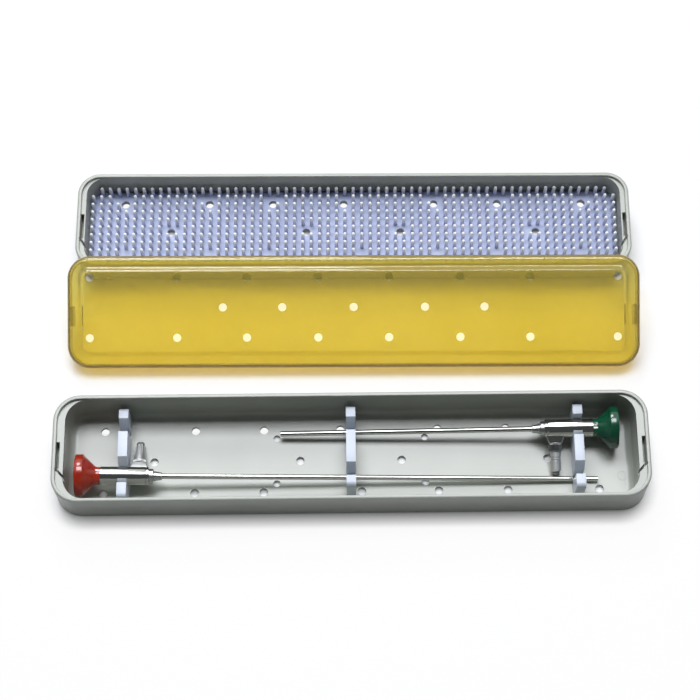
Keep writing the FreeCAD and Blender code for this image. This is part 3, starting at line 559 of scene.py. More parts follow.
# %% Draw a tray
WALL, FLOOR = 3.0 * MM, 3.0 * MM
FOOT_ROUND, RIM_ROUND = 4.0 * MM, 1.2 * MM
SHELF_DROP, SHELF_DRAFT = 2.5 * MM, 0.1 * MM
SLOT_WIDTH, SLOT_LENGTH = 2.6 * MM, 20.5 * MM
SLOT_DEPTH, SLOT_MIDDLE = 9.0 * MM, -4.8 * MM
SLIT_RUN, SLIT_WIDTH, SLIT_PAST_SHELF = 7.0 * MM, 1.8 * MM, 1.0 * MM
HOLE_BORE, SMALL_HOLE_BORE = 6.3 * MM, 5.2 * MM
ROW_SPACING = 24.3 * MM
OUTER_ROW_HOLES, MIDDLE_ROW_HOLES, ODD_HOLE = (184.2, 116.3, 65.0), (146.7, 37.8), 7.8


def tray_holes(shrink=1.0):
    """Middles of the drain holes, the same pattern in both trays."""
    holes = []
    for side in (-1, 1):
        for along in OUTER_ROW_HOLES:
            holes += [(side * along * MM * shrink, across * ROW_SPACING) for across in (-1, 1)]
        holes.append((side * ODD_HOLE * MM * shrink, -side * ROW_SPACING))
        holes += [(side * along * MM * shrink, 0.0) for along in MIDDLE_ROW_HOLES]
    return holes


def box_cutter(middle, size, turn=0.0):
    """A box at a place, turned about the upright."""
    clear_selection()
    bpy.ops.mesh.primitive_cube_add(size=1, location=middle)
    box = bpy.context.object
    box.scale = size
    box.rotation_euler.z = turn
    bpy.ops.object.transform_apply(location=True, rotation=True, scale=True)
    return box


def end_slots(length, height, shelf):
    """Cutters for the latch slots, with the slanted slit at each one's near end."""
    edge, top = length / 2 - WALL, height - SHELF_DROP
    slit_reach = shelf + SLIT_PAST_SHELF
    slit_middle = SLOT_MIDDLE - (SLOT_LENGTH + SLIT_RUN) / 2
    cutters = []
    for side in (-1, 1):
        cutters.append(box_cutter((side * (edge - SLOT_WIDTH / 2), SLOT_MIDDLE, top),
                                  (SLOT_WIDTH, SLOT_LENGTH, 2 * SLOT_DEPTH)))
        cutters.append(box_cutter((side * (edge - slit_reach / 2), slit_middle, top),
                                  (math.hypot(slit_reach, SLIT_RUN), SLIT_WIDTH, 2 * SLOT_DEPTH),
                                  side * math.atan2(SLIT_RUN, slit_reach)))
    return cutters


def tray(name, length, width, height, corner, shelf, floor_round, holes):
    """One moulded tray about the origin."""
    piece = rounded_plate(name, length, width, corner, FOOT_ROUND)
    pick_faces(piece, lambda face: True)
    pull(height - FOOT_ROUND - RIM_ROUND)
    creep(quarter(RIM_ROUND, True))
    bpy.ops.mesh.inset(thickness=WALL - 1.5 * RIM_ROUND)
    creep(quarter(RIM_ROUND / 2, False), -1)
    pull(RIM_ROUND / 2 - SHELF_DROP)
    pull(0)
    inner_length, inner_width = length - 2 * WALL, width - 2 * WALL
    bpy.ops.transform.resize(value=((inner_length - 2 * shelf) / inner_length,
                                    (inner_width - SHELF_DRAFT) / inner_width, 1),
                             center_override=(0, 0, height - SHELF_DROP))
    pull(FLOOR + floor_round - (height - SHELF_DROP))
    creep(quarter(floor_round, True), -1)
    pick_faces(piece, lambda face: face.normal.z < -FACING)
    creep(quarter(FOOT_ROUND, True))
    bpy.ops.object.mode_set(mode="OBJECT")
    clean(piece)
    for cutter in end_slots(length, height, shelf):
        cut_away(piece, cutter)
    drill(piece, holes, -MM, FLOOR + MM)
    return piece


# %% [markdown]
# The base tray is the deeper one, with a soft corner round its floor. Four smaller holes
# stand between the drain holes. The insert tray is a little shorter, narrower and lower,
# and its floor meets the wall in a tight corner, because the mat covers it.

# %% The base tray
BASE_LENGTH, BASE_WIDTH, BASE_HEIGHT, BASE_CORNER = 437.0 * MM, 82.4 * MM, 38.0 * MM, 19.5 * MM
BASE_SHELF, BASE_FLOOR_ROUND = 5.5 * MM, 6.0 * MM
SMALL_HOLE_X, SMALL_HOLE_Y = 55.3 * MM, 17.7 * MM

base_holes = [(x, y, HOLE_BORE) for x, y in tray_holes()]
base_holes += [(end * SMALL_HOLE_X, side * SMALL_HOLE_Y, SMALL_HOLE_BORE)
               for end in (-1, 1) for side in (-1, 1)]
base = tray("base_tray_moulding", BASE_LENGTH, BASE_WIDTH, BASE_HEIGHT, BASE_CORNER,
            BASE_SHELF, BASE_FLOOR_ROUND, base_holes)
dress(base, grey_polymer, "tray", ["base_tray"])
print("base tray faces:", len(base.data.polygons))

# %% The insert tray
INSERT_LENGTH, INSERT_WIDTH, INSERT_HEIGHT = 426.0 * MM, 78.0 * MM, 30.0 * MM
INSERT_CORNER, INSERT_SHELF, INSERT_FLOOR_ROUND = 17.0 * MM, 3.5 * MM, 1.0 * MM
INSERT_HOLE_SHRINK = 0.97

insert_hole_places = tray_holes(INSERT_HOLE_SHRINK)
insert = tray("insert_tray_moulding", INSERT_LENGTH, INSERT_WIDTH, INSERT_HEIGHT,
              INSERT_CORNER, INSERT_SHELF, INSERT_FLOOR_ROUND,
              [(x, y, HOLE_BORE) for x, y in insert_hole_places])
place(insert, insert_frame)
dress(insert, grey_polymer, "insert", ["insert_tray"])
print("insert tray faces:", len(insert.data.polygons))

# %% [markdown]
# Ejector pins push a moulding out of its mould and leave faint rings on the floor. Two of
# them show at the right end of the base tray. A ring with a very thin section, half sunk
# into the floor, is enough.

# %% Ejector marks
MARK_PLACES = ((200.8 * MM, 12.8 * MM), (201.7 * MM, -14.5 * MM))
MARK_RADIUS, MARK_RISE = 3.4 * MM, 0.12 * MM

marks = []
for mark_x, mark_y in MARK_PLACES:
    clear_selection()
    bpy.ops.mesh.primitive_torus_add(major_radius=MARK_RADIUS, minor_radius=MARK_RISE,
                                     major_segments=48, minor_segments=8,
                                     location=(mark_x, mark_y, FLOOR))
    bpy.ops.object.transform_apply(location=True)
    marks.append(bpy.context.object)
dress(join(marks, "ejector_marks"), grey_polymer, "tray", [])
print("ejector marks:", len(MARK_PLACES))

# %% [markdown]
# ## The brackets
#
# Each bracket's outline, with its two notches, is already right in the CAD model. Only
# its edges are too sharp, so a copy of the CAD mesh is merged, its flat sides are made
# whole faces again and its edges are rounded with a bevel.

# %% Round the brackets
EDGE_TURN, FLAT_TURN = math.radians(35), math.radians(1)
CAD_MERGE, BRACKET_ROUND = 0.01 * MM, 0.9 * MM


def softened(node, name, width, segments):
    """A copy of a CAD node with rounded edges."""
    piece = frame["nodes"][node].copy()
    piece.data = piece.data.copy()
    piece.parent = None
    for key in list(piece.keys()):
        del piece[key]
    piece.name = name
    bpy.context.scene.collection.objects.link(piece)
    clean(piece, CAD_MERGE)
    apply_modifier(piece, "DECIMATE", decimate_type="DISSOLVE", angle_limit=FLAT_TURN)
    apply_modifier(piece, "BEVEL", width=width, segments=segments, limit_method="ANGLE",
                   angle_limit=EDGE_TURN, use_clamp_overlap=True)
    return piece


for side in ("left", "middle", "right"):
    bracket = softened(side + "_bracket", side + "_bracket_moulding", BRACKET_ROUND, 3)
    dress(bracket, white_polymer, "tray", [side + "_bracket"])
    print(side, "bracket faces:", len(bracket.data.polygons))

# %% [markdown]
# ## The scopes
#
# A rigid scope is a row of turned pieces: the eyecup that a camera clips to, a steel body,
# a collar, a nose and the long shaft. Each is one lathe profile in the scope's own frame.

# %% Heads and shafts
CUP_NECK_END, BODY_END, COLLAR_END, FERRULE_END = 18.3 * MM, 54.0 * MM, 57.4 * MM, 63.6 * MM
BODY_RADIUS, COLLAR_RADIUS, SHAFT_RADIUS = 6.9 * MM, 5.5 * MM, 2.0 * MM
FERRULE_FOOT, FERRULE_NOSE = 3.7 * MM, 2.8 * MM
WINDOW_RADIUS, LENS_RADIUS, LENS_SEAT, LENS_SUNK = 5.5 * MM, 1.5 * MM, 0.8 * MM, 0.1 * MM
TIP_BORE, SHAFT_IN_FERRULE = 1.55 * MM, 5.0 * MM
BODY_GROOVE, GROOVE_FLOOR, GROOVE_DEPTH = 2.6 * MM, 0.4 * MM, 0.25 * MM
EDGE_EASE, SHAFT_EASE, LENS_EASE = 0.25 * MM, 0.12 * MM, 0.08 * MM
SHAFT_LENGTH = {"red": 322.6 * MM, "green": 187.1 * MM}
# Profiles of the cup and the nub: millimetres along the axis, and the radius there.
CUP_DISH = ((5.6, 5.6), (4.2, 5.75), (4.0, 6.6), (1.2, 11.6), (0.3, 13.2))
CUP_RIM = ((0.0, 14.6), (0.25, 15.4), (1.0, 15.875), (5.2, 15.875), (6.2, 15.5), (6.7, 14.6))
CUP_CONE = ((10.5, 10.9), (14.2, 7.4), (15.2, 6.75), (16.2, 6.6), (18.3, 6.6))
NUB = ((14.1, 0.55), (14.3, 0.85), (14.7, 1.0), (17.7, 1.0), (18.1, 0.85), (18.3, 0.55))
NUB_SUNK = 1.0 * MM


def in_metres(profile):
    """Stations in metres from a profile in millimetres."""
    return [(distance * MM, radius * MM) for distance, radius in profile]


def scope(scope_colour):
    """All turned pieces of one scope."""
    at = scope_frame(scope_colour)
    body = scope_colour + "_scope"
    tip = FERRULE_END + SHAFT_LENGTH[scope_colour]
    window_end, seat, lens_face = EYE_RECESS + WINDOW_THICKNESS, tip - LENS_SEAT, tip - LENS_SUNK

    def put(name, stations, material, sides, where=at):
        piece = turned(f"{scope_colour}_{name}_turning", stations, sides)
        place(piece, where)
        dress(piece, material, body, [f"{scope_colour}_{name}"])

    put("eyecup", in_metres(CUP_DISH + CUP_RIM + CUP_CONE), cup_paint[scope_colour],
        96)
    put("body", eased([
        (CUP_NECK_END, 5.0 * MM), (CUP_NECK_END, BODY_RADIUS),
        *grooved(BODY_END - BODY_GROOVE, GROOVE_FLOOR, GROOVE_DEPTH, BODY_RADIUS),
        (BODY_END, BODY_RADIUS), (BODY_END, 5.0 * MM)], EDGE_EASE), polished,
        96)
    put("collar", eased([
        (BODY_END, 4.0 * MM), (BODY_END, COLLAR_RADIUS), (COLLAR_END, COLLAR_RADIUS),
        (COLLAR_END, 3.5 * MM)], EDGE_EASE), satin, 64)
    put("ferrule", eased([
        (COLLAR_END, 2.4 * MM), (COLLAR_END, FERRULE_FOOT), (FERRULE_END, FERRULE_NOSE),
        (FERRULE_END, 2.2 * MM)], EDGE_EASE), satin, 64)
    put("shaft", eased([
        (FERRULE_END - SHAFT_IN_FERRULE, 1.0 * MM), (FERRULE_END - SHAFT_IN_FERRULE, SHAFT_RADIUS),
        (tip, SHAFT_RADIUS), (tip, TIP_BORE), (seat, TIP_BORE), (seat, 1.0 * MM)], SHAFT_EASE),
        polished, 32)
    put("window", eased([
        (EYE_RECESS, 4.9 * MM), (EYE_RECESS, WINDOW_RADIUS), (window_end, WINDOW_RADIUS),
        (window_end, 4.9 * MM)], EDGE_EASE), glass, 64)
    put("tip_lens", eased([
        (seat, 1.2 * MM), (seat, LENS_RADIUS), (lens_face, LENS_RADIUS),
        (lens_face, 1.2 * MM)], LENS_EASE), glass, 32)
    put("index_nub", in_metres(NUB), enamel, 32,
        at @ Matrix.Translation((0, BODY_RADIUS - NUB_SUNK, 0)))
    print(scope_colour, "scope is", round(tip / MM), "mm long")


for scope_colour in ("red", "green"):
    scope(scope_colour)

# %% [markdown]
# ## Light posts
#
# A saddle block joins the light post to the body. It starts as a cube, its outer end is
# drawn narrower, and its edges are rounded. The post itself is turned: a toothed ring, the
# light guide, and an adapter that unscrews.

# %% Saddle blocks
POST_PLACE, BLOCK_REACH = 46.4 * MM, 11.3 * MM
BLOCK_ROOT, BLOCK_HEAD, BLOCK_THICKNESS, BLOCK_TAPER = 15.0 * MM, 10.0 * MM, 9.0 * MM, 1.6 * MM
BLOCK_ROUND = 1.1 * MM


def saddle_block(scope_colour):
    """The tapered block between body and post, drawn along X."""
    clear_selection()
    start = BODY_RADIUS / 2
    bpy.ops.mesh.primitive_cube_add(size=1, location=((start + BLOCK_REACH) / 2, 0, POST_PLACE))
    piece = bpy.context.object
    piece.name = scope_colour + "_light_block_casting"
    piece.scale = (BLOCK_REACH - start, BLOCK_THICKNESS, BLOCK_ROOT)
    bpy.ops.object.transform_apply(location=True, scale=True)
    pick_faces(piece, lambda face: face.normal.x > FACING)
    bpy.ops.transform.resize(value=(1, 1 - BLOCK_TAPER / BLOCK_THICKNESS, BLOCK_HEAD / BLOCK_ROOT),
                             center_override=(BLOCK_REACH, 0, POST_PLACE))
    bpy.ops.object.mode_set(mode="OBJECT")
    apply_modifier(piece, "BEVEL", width=BLOCK_ROUND, segments=4, limit_method="ANGLE")
    return piece


# %% [markdown]
# The ring under the adapter has fine teeth for the fingers. It is turned with four sides to
# a tooth, and two of each four edges are then drawn in.

# %% Toothed rings
RING_TEETH, TOOTH_DEPTH, TOOTH_EASE, RING_HUB = 32, 0.35 * MM, 0.4 * MM, 1.5 * MM


def toothed_ring(name, start, end, radius):
    """A ring whose rim is cut into fine teeth by drawing in two of each four edges."""
    piece = turned(name, [(start, radius - RING_HUB), (start, radius - TOOTH_EASE),
                          (start + TOOTH_EASE, radius), (end - TOOTH_EASE, radius),
                          (end, radius - TOOTH_EASE), (end, radius - RING_HUB)], RING_TEETH * 4)
    for vertex in piece.data.vertices:
        quarters = math.atan2(vertex.co.y, vertex.co.x) / math.tau * RING_TEETH * 4
        reach = math.hypot(vertex.co.x, vertex.co.y)
        if reach > radius - 0.1 * MM and round(quarters) % 4 in (0, 1):
            vertex.co.x *= 1 - TOOTH_DEPTH / reach
            vertex.co.y *= 1 - TOOTH_DEPTH / reach
    return piece


# %% [markdown]
# The red scope's adapter tapers, and ten round grooves along it give the fingers a grip.
# They are cut by one bevelled cylinder, copied round the axis. The green one is plain, with
# two turned grooves.

# %% Light adapters
FLUTES, FLUTE_RADIUS, FLUTE_EASE, FLUTE_OUT = 10, 0.9 * MM, 0.5 * MM, 0.4 * MM
FLUTE_FROM_START, FLUTE_FROM_END = 4.0 * MM, 2.6 * MM
PLAIN_GROOVES, PLAIN_GROOVE_FLOOR, PLAIN_GROOVE_DEPTH = (0.28, 0.42), 0.8 * MM, 0.5 * MM


def fluted_adapter(start, end, first, last):
    """A tapered adapter with round grooves along it for a finger grip."""
    piece = turned("red_adapter_turning", [(start, first - 1.2 * MM), (start, first - 0.3 * MM),
                                           (start + 0.3 * MM, first), (end - 0.4 * MM, last),
                                           (end, last - 0.4 * MM), (end, last - 0.8 * MM)], 80)
    low, high = start + FLUTE_FROM_START, end - FLUTE_FROM_END
    reach = (first + last) / 2 + FLUTE_OUT
    tilt = Matrix.Rotation(-math.atan((first - last) / (end - start)), 4, "Y")
    flutes = []
    for index in range(FLUTES):
        clear_selection()
        bpy.ops.mesh.primitive_cylinder_add(vertices=16, radius=FLUTE_RADIUS, depth=high - low)
        flute = bpy.context.object
        apply_modifier(flute, "BEVEL", width=FLUTE_EASE, segments=3, limit_method="ANGLE")
        turn = Matrix.Rotation(math.tau * index / FLUTES, 4, "Z")
        place(flute, turn @ Matrix.Translation((reach, 0, (low + high) / 2)) @ tilt)
        flutes.append(flute)
    cut_away(piece, join(flutes, "cutter"))
    return piece


def plain_adapter(start, end, radius):
    """A plain adapter with two grooves turned into it."""
    stations = [(start, radius - 1.0 * MM), (start, radius - 0.2 * MM),
                (start + 0.2 * MM, radius)]
    for share in PLAIN_GROOVES:
        mark = start + share * (end - start) - 0.1 * MM
        stations += grooved(mark, PLAIN_GROOVE_FLOOR, PLAIN_GROOVE_DEPTH, radius)
    stations += [(end - 0.6 * MM, radius), (end, radius - 0.6 * MM), (end, radius - 1.0 * MM)]
    return turned("green_adapter_turning", stations, 64)


# %% [markdown]
# Every piece of a post is turned about Z and then laid along X of the scope's frame, so one
# matrix serves them all. The light guide is a rod of glass fibre in a steel sleeve.

# %% Posts of both scopes
RING_RADIUS, GUIDE_START, ADAPTER_GAP = 5.2 * MM, 7.2 * MM, 0.05 * MM
RING_END = {"red": 13.6 * MM, "green": 16.7 * MM}
GUIDE_END = {"red": 31.2 * MM, "green": 33.8 * MM}
GUIDE_RADIUS = {"red": 2.2 * MM, "green": 2.8 * MM}
RED_ADAPTER_END, RED_ADAPTER_FOOT, RED_ADAPTER_TOP = 31.2 * MM, 4.8 * MM, 3.0 * MM
GREEN_ADAPTER_END, GREEN_ADAPTER_RADIUS = 31.8 * MM, 3.9 * MM


def light_guide(scope_colour):
    """The rod of glass fibre in its steel sleeve, with a shallow dish at its end."""
    end, radius = GUIDE_END[scope_colour], GUIDE_RADIUS[scope_colour]
    return turned(scope_colour + "_light_guide_turning", [
        (GUIDE_START, radius - 0.5 * MM), (GUIDE_START, radius), (end - 0.3 * MM, radius),
        (end, radius - 0.3 * MM), (end, radius - 0.9 * MM),
        (end - 0.2 * MM, radius - 1.0 * MM)], 48)


def light_post(scope_colour):
    """The block, ring, guide and adapter of one scope."""
    at = scope_frame(scope_colour)
    along_post = at @ Matrix.Translation((0, 0, POST_PLACE)) @ Matrix.Rotation(
        math.pi / 2, 4, "Y")
    scope_body, adapter_start = scope_colour + "_scope", RING_END[scope_colour] + ADAPTER_GAP
    block = saddle_block(scope_colour)
    ring = toothed_ring(scope_colour + "_light_ring_turning", BLOCK_REACH,
                        RING_END[scope_colour], RING_RADIUS)
    guide = light_guide(scope_colour)
    if scope_colour == "red":
        block_finish, ring_finish = blasted, blasted
        adapter = fluted_adapter(adapter_start, RED_ADAPTER_END, RED_ADAPTER_FOOT,
                                 RED_ADAPTER_TOP)
    else:
        block_finish, ring_finish = polished, dark_steel
        adapter = plain_adapter(adapter_start, GREEN_ADAPTER_END, GREEN_ADAPTER_RADIUS)
    for piece, where, finish, body, node, slot, angle in (
            (block, at, block_finish, scope_body, "light_block", "polished_steel", 40),
            (ring, along_post, ring_finish, scope_body, "light_ring", "knurled_steel", 25),
            (guide, along_post, dark_steel, scope_body, "light_guide", "polished_steel", 35),
            (adapter, along_post, blasted, scope_colour + "_post_adapter", "adapter",
             "polished_steel", 35)):
        place(piece, where)
        dress(piece, finish, body, [f"{scope_colour}_{node}"], angle)
    print(scope_colour, "adapter faces:", len(adapter.data.polygons))


for scope_colour in ("red", "green"):
    light_post(scope_colour)

# %% [markdown]
# ## The finger mat
#
# Hundreds of soft, tapered fingers keep instruments apart and let steam reach them. One
# finger is turned with a rounded tip, and copies stand on a square grid that leaves room
# around each drain hole and in the corners.

# %% Sheet and fingers
MAT_MARGIN, MAT_CORNER, MAT_THICKNESS, MAT_GAP = 1.2 * MM, 10.3 * MM, 2.0 * MM, 0.1 * MM
MAT_BOTTOM = FLOOR + MAT_GAP
MAT_TOP = MAT_BOTTOM + MAT_THICKNESS
FINGER_PITCH, FINGER_FOOT, FINGER_TO_HOLE = 6.55 * MM, 3.0 * MM, 1.2 * MM
# Millimetres over the sheet, and the finger's radius there.
FINGER = ((-0.05, 1.5), (0.6, 1.48), (6.0, 1.4), (10.9, 1.3), (11.6, 1.0), (12.0, 0.4))
FINGER_SIDES = 10
mat_length = INSERT_LENGTH - 2 * (WALL + INSERT_SHELF + MAT_MARGIN)
mat_width = INSERT_WIDTH - 2 * (WALL + MAT_MARGIN)
sheet = rounded_plate("mat_sheet", mat_length, mat_width, MAT_CORNER, MAT_BOTTOM)
pick_faces(sheet, lambda face: True)
pull(MAT_THICKNESS)
bpy.ops.object.mode_set(mode="OBJECT")
clean(sheet)
drill(sheet, [(x, y, HOLE_BORE) for x, y in insert_hole_places], 0, MAT_TOP + MM)


def finger_places():
    """Grid places that lie inside the mat's outline and clear of its holes."""
    half = FINGER_FOOT / 2
    columns = int((mat_length / 2 - half) / FINGER_PITCH)
    rows = int((mat_width / 2 - half) / FINGER_PITCH)
    clear = HOLE_BORE / 2 + half + FINGER_TO_HOLE
    for column in range(-columns, columns + 1):
        for row in range(-rows, rows + 1):
            x, y = column * FINGER_PITCH, row * FINGER_PITCH
            past_x = abs(x) + half - (mat_length / 2 - MAT_CORNER)
            past_y = abs(y) + half - (mat_width / 2 - MAT_CORNER)
            in_corner = min(past_x, past_y) > 0 and math.hypot(past_x, past_y) > MAT_CORNER
            if not in_corner and all(math.hypot(x - hx, y - hy) >= clear
                                     for hx, hy in insert_hole_places):
                yield x, y


finger = turned("finger", [(MAT_TOP + rise * MM, radius * MM) for rise, radius in FINGER],
                FINGER_SIDES)
fingers = []
for x, y in finger_places():
    copy = finger.copy()
    copy.data = finger.data.copy()
    copy.data.transform(Matrix.Translation((x, y, 0)))
    bpy.context.scene.collection.objects.link(copy)
    fingers.append(copy)
bpy.data.objects.remove(finger)
mat = join([sheet] + fingers, "finger_mat_casting")
place(mat, insert_frame)
dress(mat, silicone, "insert", ["finger_mat"], 50)
print("fingers:", len(fingers))

# %% [markdown]
# ## The lid
#
# The lid's outline is drawn up as one surface: skirt, rounded shoulder, flat band, a
# sloped step with soft ends, and the raised panel. Its underside is left open, and a
# Solidify modifier then gives it one even wall, as a mould would. The vent holes stand in
# three rows, a little towards the far edge.

# %% Draw the lid
LID_WIDTH, LID_CORNER = 84.7 * MM, 17.0 * MM
LID_ROUND, LID_BAND = 4.0 * MM, 8.0 * MM
STEP_RUN, STEP_RISE, STEP_PARTS = 4.4 * MM, 2.4 * MM, 8
LID_ROW, ROW_SHIFT = 22.8 * MM, 3.1 * MM
OUTER_VENTS, MIDDLE_VENTS = (199.0, 133.1, 80.4, 26.7), (98.6, 53.8)
DRILL_LOW, DRILL_HIGH = LID_HEIGHT - 4 * MM, LID_HEIGHT + 6 * MM
LATCH_ROUND = 0.15 * MM


def step_profile():
    """(inset, rise) steps of a slope that starts and ends level."""
    def ease(t):
        return t * t * (3 - 2 * t)
    return [(STEP_RUN / STEP_PARTS,
             STEP_RISE * (ease((i + 1) / STEP_PARTS) - ease(i / STEP_PARTS)))
            for i in range(STEP_PARTS)]


lid = rounded_plate("lid_moulding", LID_LENGTH, LID_WIDTH, LID_CORNER, 0, 14)
pick_faces(lid, lambda face: True)
pull(LID_HEIGHT - LID_ROUND)
creep(quarter(LID_ROUND, True))
bpy.ops.mesh.inset(thickness=LID_BAND - LID_ROUND)
creep(step_profile())
pick_faces(lid, lambda face: face.center.z < 0.1 * MM and abs(face.normal.z) > FACING)
bpy.ops.mesh.delete(type="ONLY_FACE")
bpy.ops.object.mode_set(mode="OBJECT")
clean(lid)
apply_modifier(lid, "SOLIDIFY", thickness=LID_WALL, offset=-1, use_even_offset=True)
vents = [(0.0, ROW_SHIFT)]
for side in (-1, 1):
    vents += [(side * along * MM, across * LID_ROW + ROW_SHIFT)
              for along in OUTER_VENTS for across in (-1, 1)]
    vents += [(side * along * MM, ROW_SHIFT) for along in MIDDLE_VENTS]
drill(lid, [(x, y, HOLE_BORE) for x, y in vents], DRILL_LOW, DRILL_HIGH)
place(lid, lid_frame)
dress(lid, amber, "cover", ["lid"], 40)

for side in ("left", "right"):
    latch = softened(side + "_latch", side + "_latch_tongue", LATCH_ROUND, 2)
    dress(latch, amber, side + "_snap", [side + "_latch"])
print("lid faces:", len(lid.data.polygons))

# %% [markdown]
# The studs under the brackets are the last CAD node left as it is. It only needs a finish.

# %% Finish the studs
studs = frame["nodes"]["bracket_studs"]
studs.data.materials.clear()
studs.data.materials.append(white_polymer)
print("studs keep", len(studs.data.polygons), "CAD faces")

# %% [markdown]
# ## The table
#
# The set stands on a white table. For the camera the table is part real shade and part
# plain white, so that the background stays white and the shadows stay thin. Ambient
# occlusion takes the white away close to the trays. Zones across the table set how much:
# shade gathers in front of the base tray, none right behind it or behind the insert tray,
# and between the two, where the lid's near edge lies, half of the real shade shows. Where
# no shade gathers, the plain white is painted light laid over the real shade, so the far
# row of drain holes in the base tray looks white.

# %% Table
SHADE_REACH, SHADE_POWER = 12 * MM, 2.5
WHITE_SHARE, GAP_SHARE = 0.93, 0.5
ZONE_START, ZONE_END = -0.3, 0.3
# Where shade does not gather, plain white is painted over the real shade.
# Distance from the table's middle, whether shade gathers there, and the share of white.
ZONES = ((-0.3, 1, WHITE_SHARE), (-0.084, 1, WHITE_SHARE), (-0.076, 0, WHITE_SHARE),
         (-0.048, 0, WHITE_SHARE), (-0.03, 1, GAP_SHARE), (0.09, 1, GAP_SHARE),
         (0.11, 0, WHITE_SHARE))
GAP_END, GAP_FADE = 0.215, 0.29


def white_table():
    """Matt white paint that is partly plain white to the camera."""
    material, tree, output, spot = new_material("white_table")
    paint = add_node(tree, "ShaderNodeBsdfPrincipled", inputs={
        "Base Color": colour("#f0f0f0"), "Roughness": 0.6,
        "Normal": grain_bump(tree, spot, 2, 0.01)})
    white = add_node(tree, "ShaderNodeEmission", inputs={
        "Color": (1, 1, 1, 1), "Strength": 1.0})
    where = add_node(tree, "ShaderNodeSeparateXYZ", inputs={0: spot})
    zones = add_node(tree, "ShaderNodeValToRGB", inputs={
        "Fac": spread(tree, where.outputs["Y"], ZONE_START, ZONE_END)})
    fill_ramp(zones, [((place_y - ZONE_START) / (ZONE_END - ZONE_START),
                       (gathers, share_of_white, 0, 1))
                      for place_y, gathers, share_of_white in ZONES])
    zone = add_node(tree, "ShaderNodeSeparateColor", inputs={0: zones.outputs["Color"]})
    aside = computed(tree, "ABSOLUTE", where.outputs["X"])
    past_ends = spread(tree, aside, GAP_END, GAP_FADE, to_high=WHITE_SHARE)
    whiteness = computed(tree, "MAXIMUM", zone.outputs["Green"], past_ends)
    shelter = add_node(tree, "ShaderNodeAmbientOcclusion", {"samples": 8},
                       {"Distance": SHADE_REACH})
    depth = computed(tree, "MULTIPLY", zone.outputs["Red"], SHADE_POWER)
    open_sky = computed(tree, "POWER", shelter.outputs["AO"], depth)
    rays = add_node(tree, "ShaderNodeLightPath")
    to_camera = computed(tree, "MULTIPLY", rays.outputs["Is Camera Ray"], open_sky)
    share = computed(tree, "MULTIPLY", to_camera, whiteness)
    mix = add_node(tree, "ShaderNodeMixShader", inputs={
        0: share, 1: paint.outputs[0], 2: white.outputs[0]})
    tree.links.new(mix.outputs[0], output.inputs["Surface"])
    return material


TABLE_SIZE, TABLE_MIDDLE, TABLE_BELOW = 6, 0.1, 0.2 * MM
clear_selection()
bpy.ops.mesh.primitive_plane_add(size=TABLE_SIZE, location=(0, TABLE_MIDDLE, -TABLE_BELOW))
table = bpy.context.object
table.name = "table"
table.data.materials.append(white_table())
print("table:", TABLE_SIZE, "metres square")

# %% [markdown]
# ## World and lamps
#
# The camera sees a white world, and so do rays that went through the lid and mirrored rays
# that leave towards the back. Everything else gets only a soft fill. Two large soft lamps
# behind the trays light the floors and leave the walls that face the viewer darker.

# %% World
def studio_world():
    """White where it is seen, and a soft fill elsewhere."""
    world = bpy.data.worlds.new("studio")
    world.use_nodes = True
    tree = world.node_tree
    tree.nodes.clear()
    rays = add_node(tree, "ShaderNodeLightPath")
    soft = add_node(tree, "ShaderNodeBackground", inputs={
        "Color": colour("#eef2f6"), "Strength": 0.1})
    bright = add_node(tree, "ShaderNodeBackground", inputs={
        "Color": (1, 1, 1, 1), "Strength": 1.0})
    sky = add_node(tree, "ShaderNodeTexCoord").outputs["Generated"]
    towards = add_node(tree, "ShaderNodeSeparateXYZ", inputs={0: sky})
    behind = spread(tree, towards.outputs["Y"], 0.0, 0.35)
    mirrored = computed(tree, "MULTIPLY", rays.outputs["Is Glossy Ray"], behind)
    seen = computed(tree, "MAXIMUM", rays.outputs["Is Camera Ray"], mirrored)
    seen = computed(tree, "MAXIMUM", seen, rays.outputs["Is Transmission Ray"])
    mix = add_node(tree, "ShaderNodeMixShader", inputs={
        0: seen, 1: soft.outputs[0], 2: bright.outputs[0]})
    output = add_node(tree, "ShaderNodeOutputWorld")
    tree.links.new(mix.outputs[0], output.inputs["Surface"])
    return world


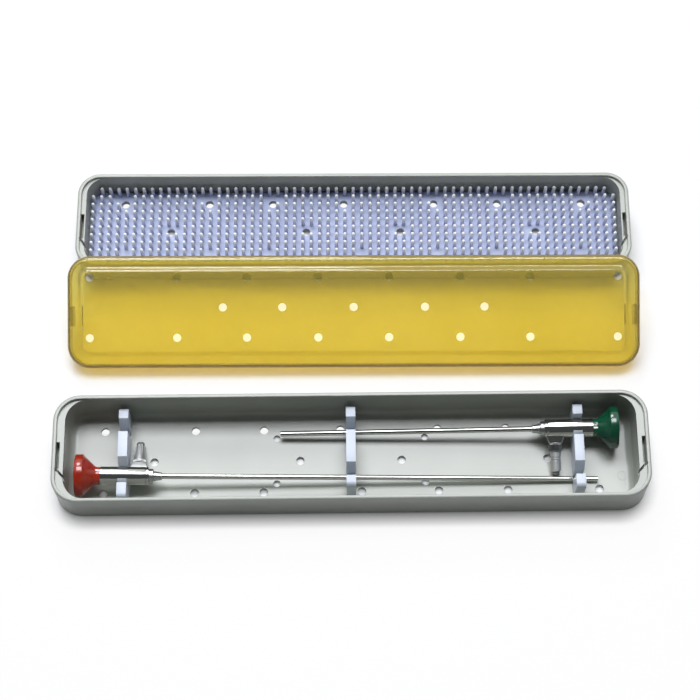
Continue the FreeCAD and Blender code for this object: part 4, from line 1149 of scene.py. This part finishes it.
bpy.context.scene.view_settings.view_transform = "Standard"
bpy.context.scene.world = studio_world()
print("world:", bpy.context.scene.world.name)

# %% Lamps
DAYLIGHT, LIT_PLACE = (0.93, 0.95, 1.0), (0, 0.1, 0)


def lamp(name, where, width, depth, watts):
    """A soft rectangular lamp that points at the middle of the set."""
    light = bpy.data.lights.new(name, "AREA")
    light.shape = "RECTANGLE"
    light.size, light.size_y, light.energy = width, depth, watts
    light.color = DAYLIGHT
    holder = bpy.data.objects.new(name, light)
    holder.location = where
    holder.rotation_euler = (Vector(LIT_PLACE) - Vector(where)).to_track_quat("-Z", "Y").to_euler()
    bpy.context.scene.collection.objects.link(holder)


lamp("top_softbox", (0.0, 0.72, 1.95), 1.8, 0.7, 43)
lamp("back_softbox", (-0.4, 1.6, 1.5), 0.9, 0.5, 20)
print("lamps:", len(bpy.data.lights))

# %% [markdown]
# ## Camera
#
# The camera looks down steeply from the front with a long lens. Its place and angles were
# fitted to the corners of the trays, so a small yaw and roll are left in.

# %% Camera
CAMERA_PLACE = (-2.49 * MM, -462.91 * MM, 1381.38 * MM)
DOWN, YAW, ROLL = math.radians(68.192), math.radians(0.275), math.radians(-0.357)
LENS, SENSOR = 100, 36
forward = Vector((math.sin(YAW) * math.cos(DOWN), math.cos(YAW) * math.cos(DOWN),
                  -math.sin(DOWN)))
right = forward.cross(Vector((0, 0, 1))).normalized()
up = right.cross(forward)
camera = bpy.data.objects.new("camera", bpy.data.cameras.new("camera"))
camera.data.lens, camera.data.sensor_width = LENS, SENSOR
camera.matrix_world = frame_matrix(math.cos(ROLL) * right + math.sin(ROLL) * up,
                                   math.cos(ROLL) * up - math.sin(ROLL) * right,
                                   -forward, Vector(CAMERA_PLACE))
bpy.context.scene.collection.objects.link(camera)
bpy.context.scene.camera = camera
print("camera lens:", LENS, "mm")

# %% [markdown]
# ## Finish
#
# The scene is brought up to date.

# %% Finish
bpy.context.view_layer.update()
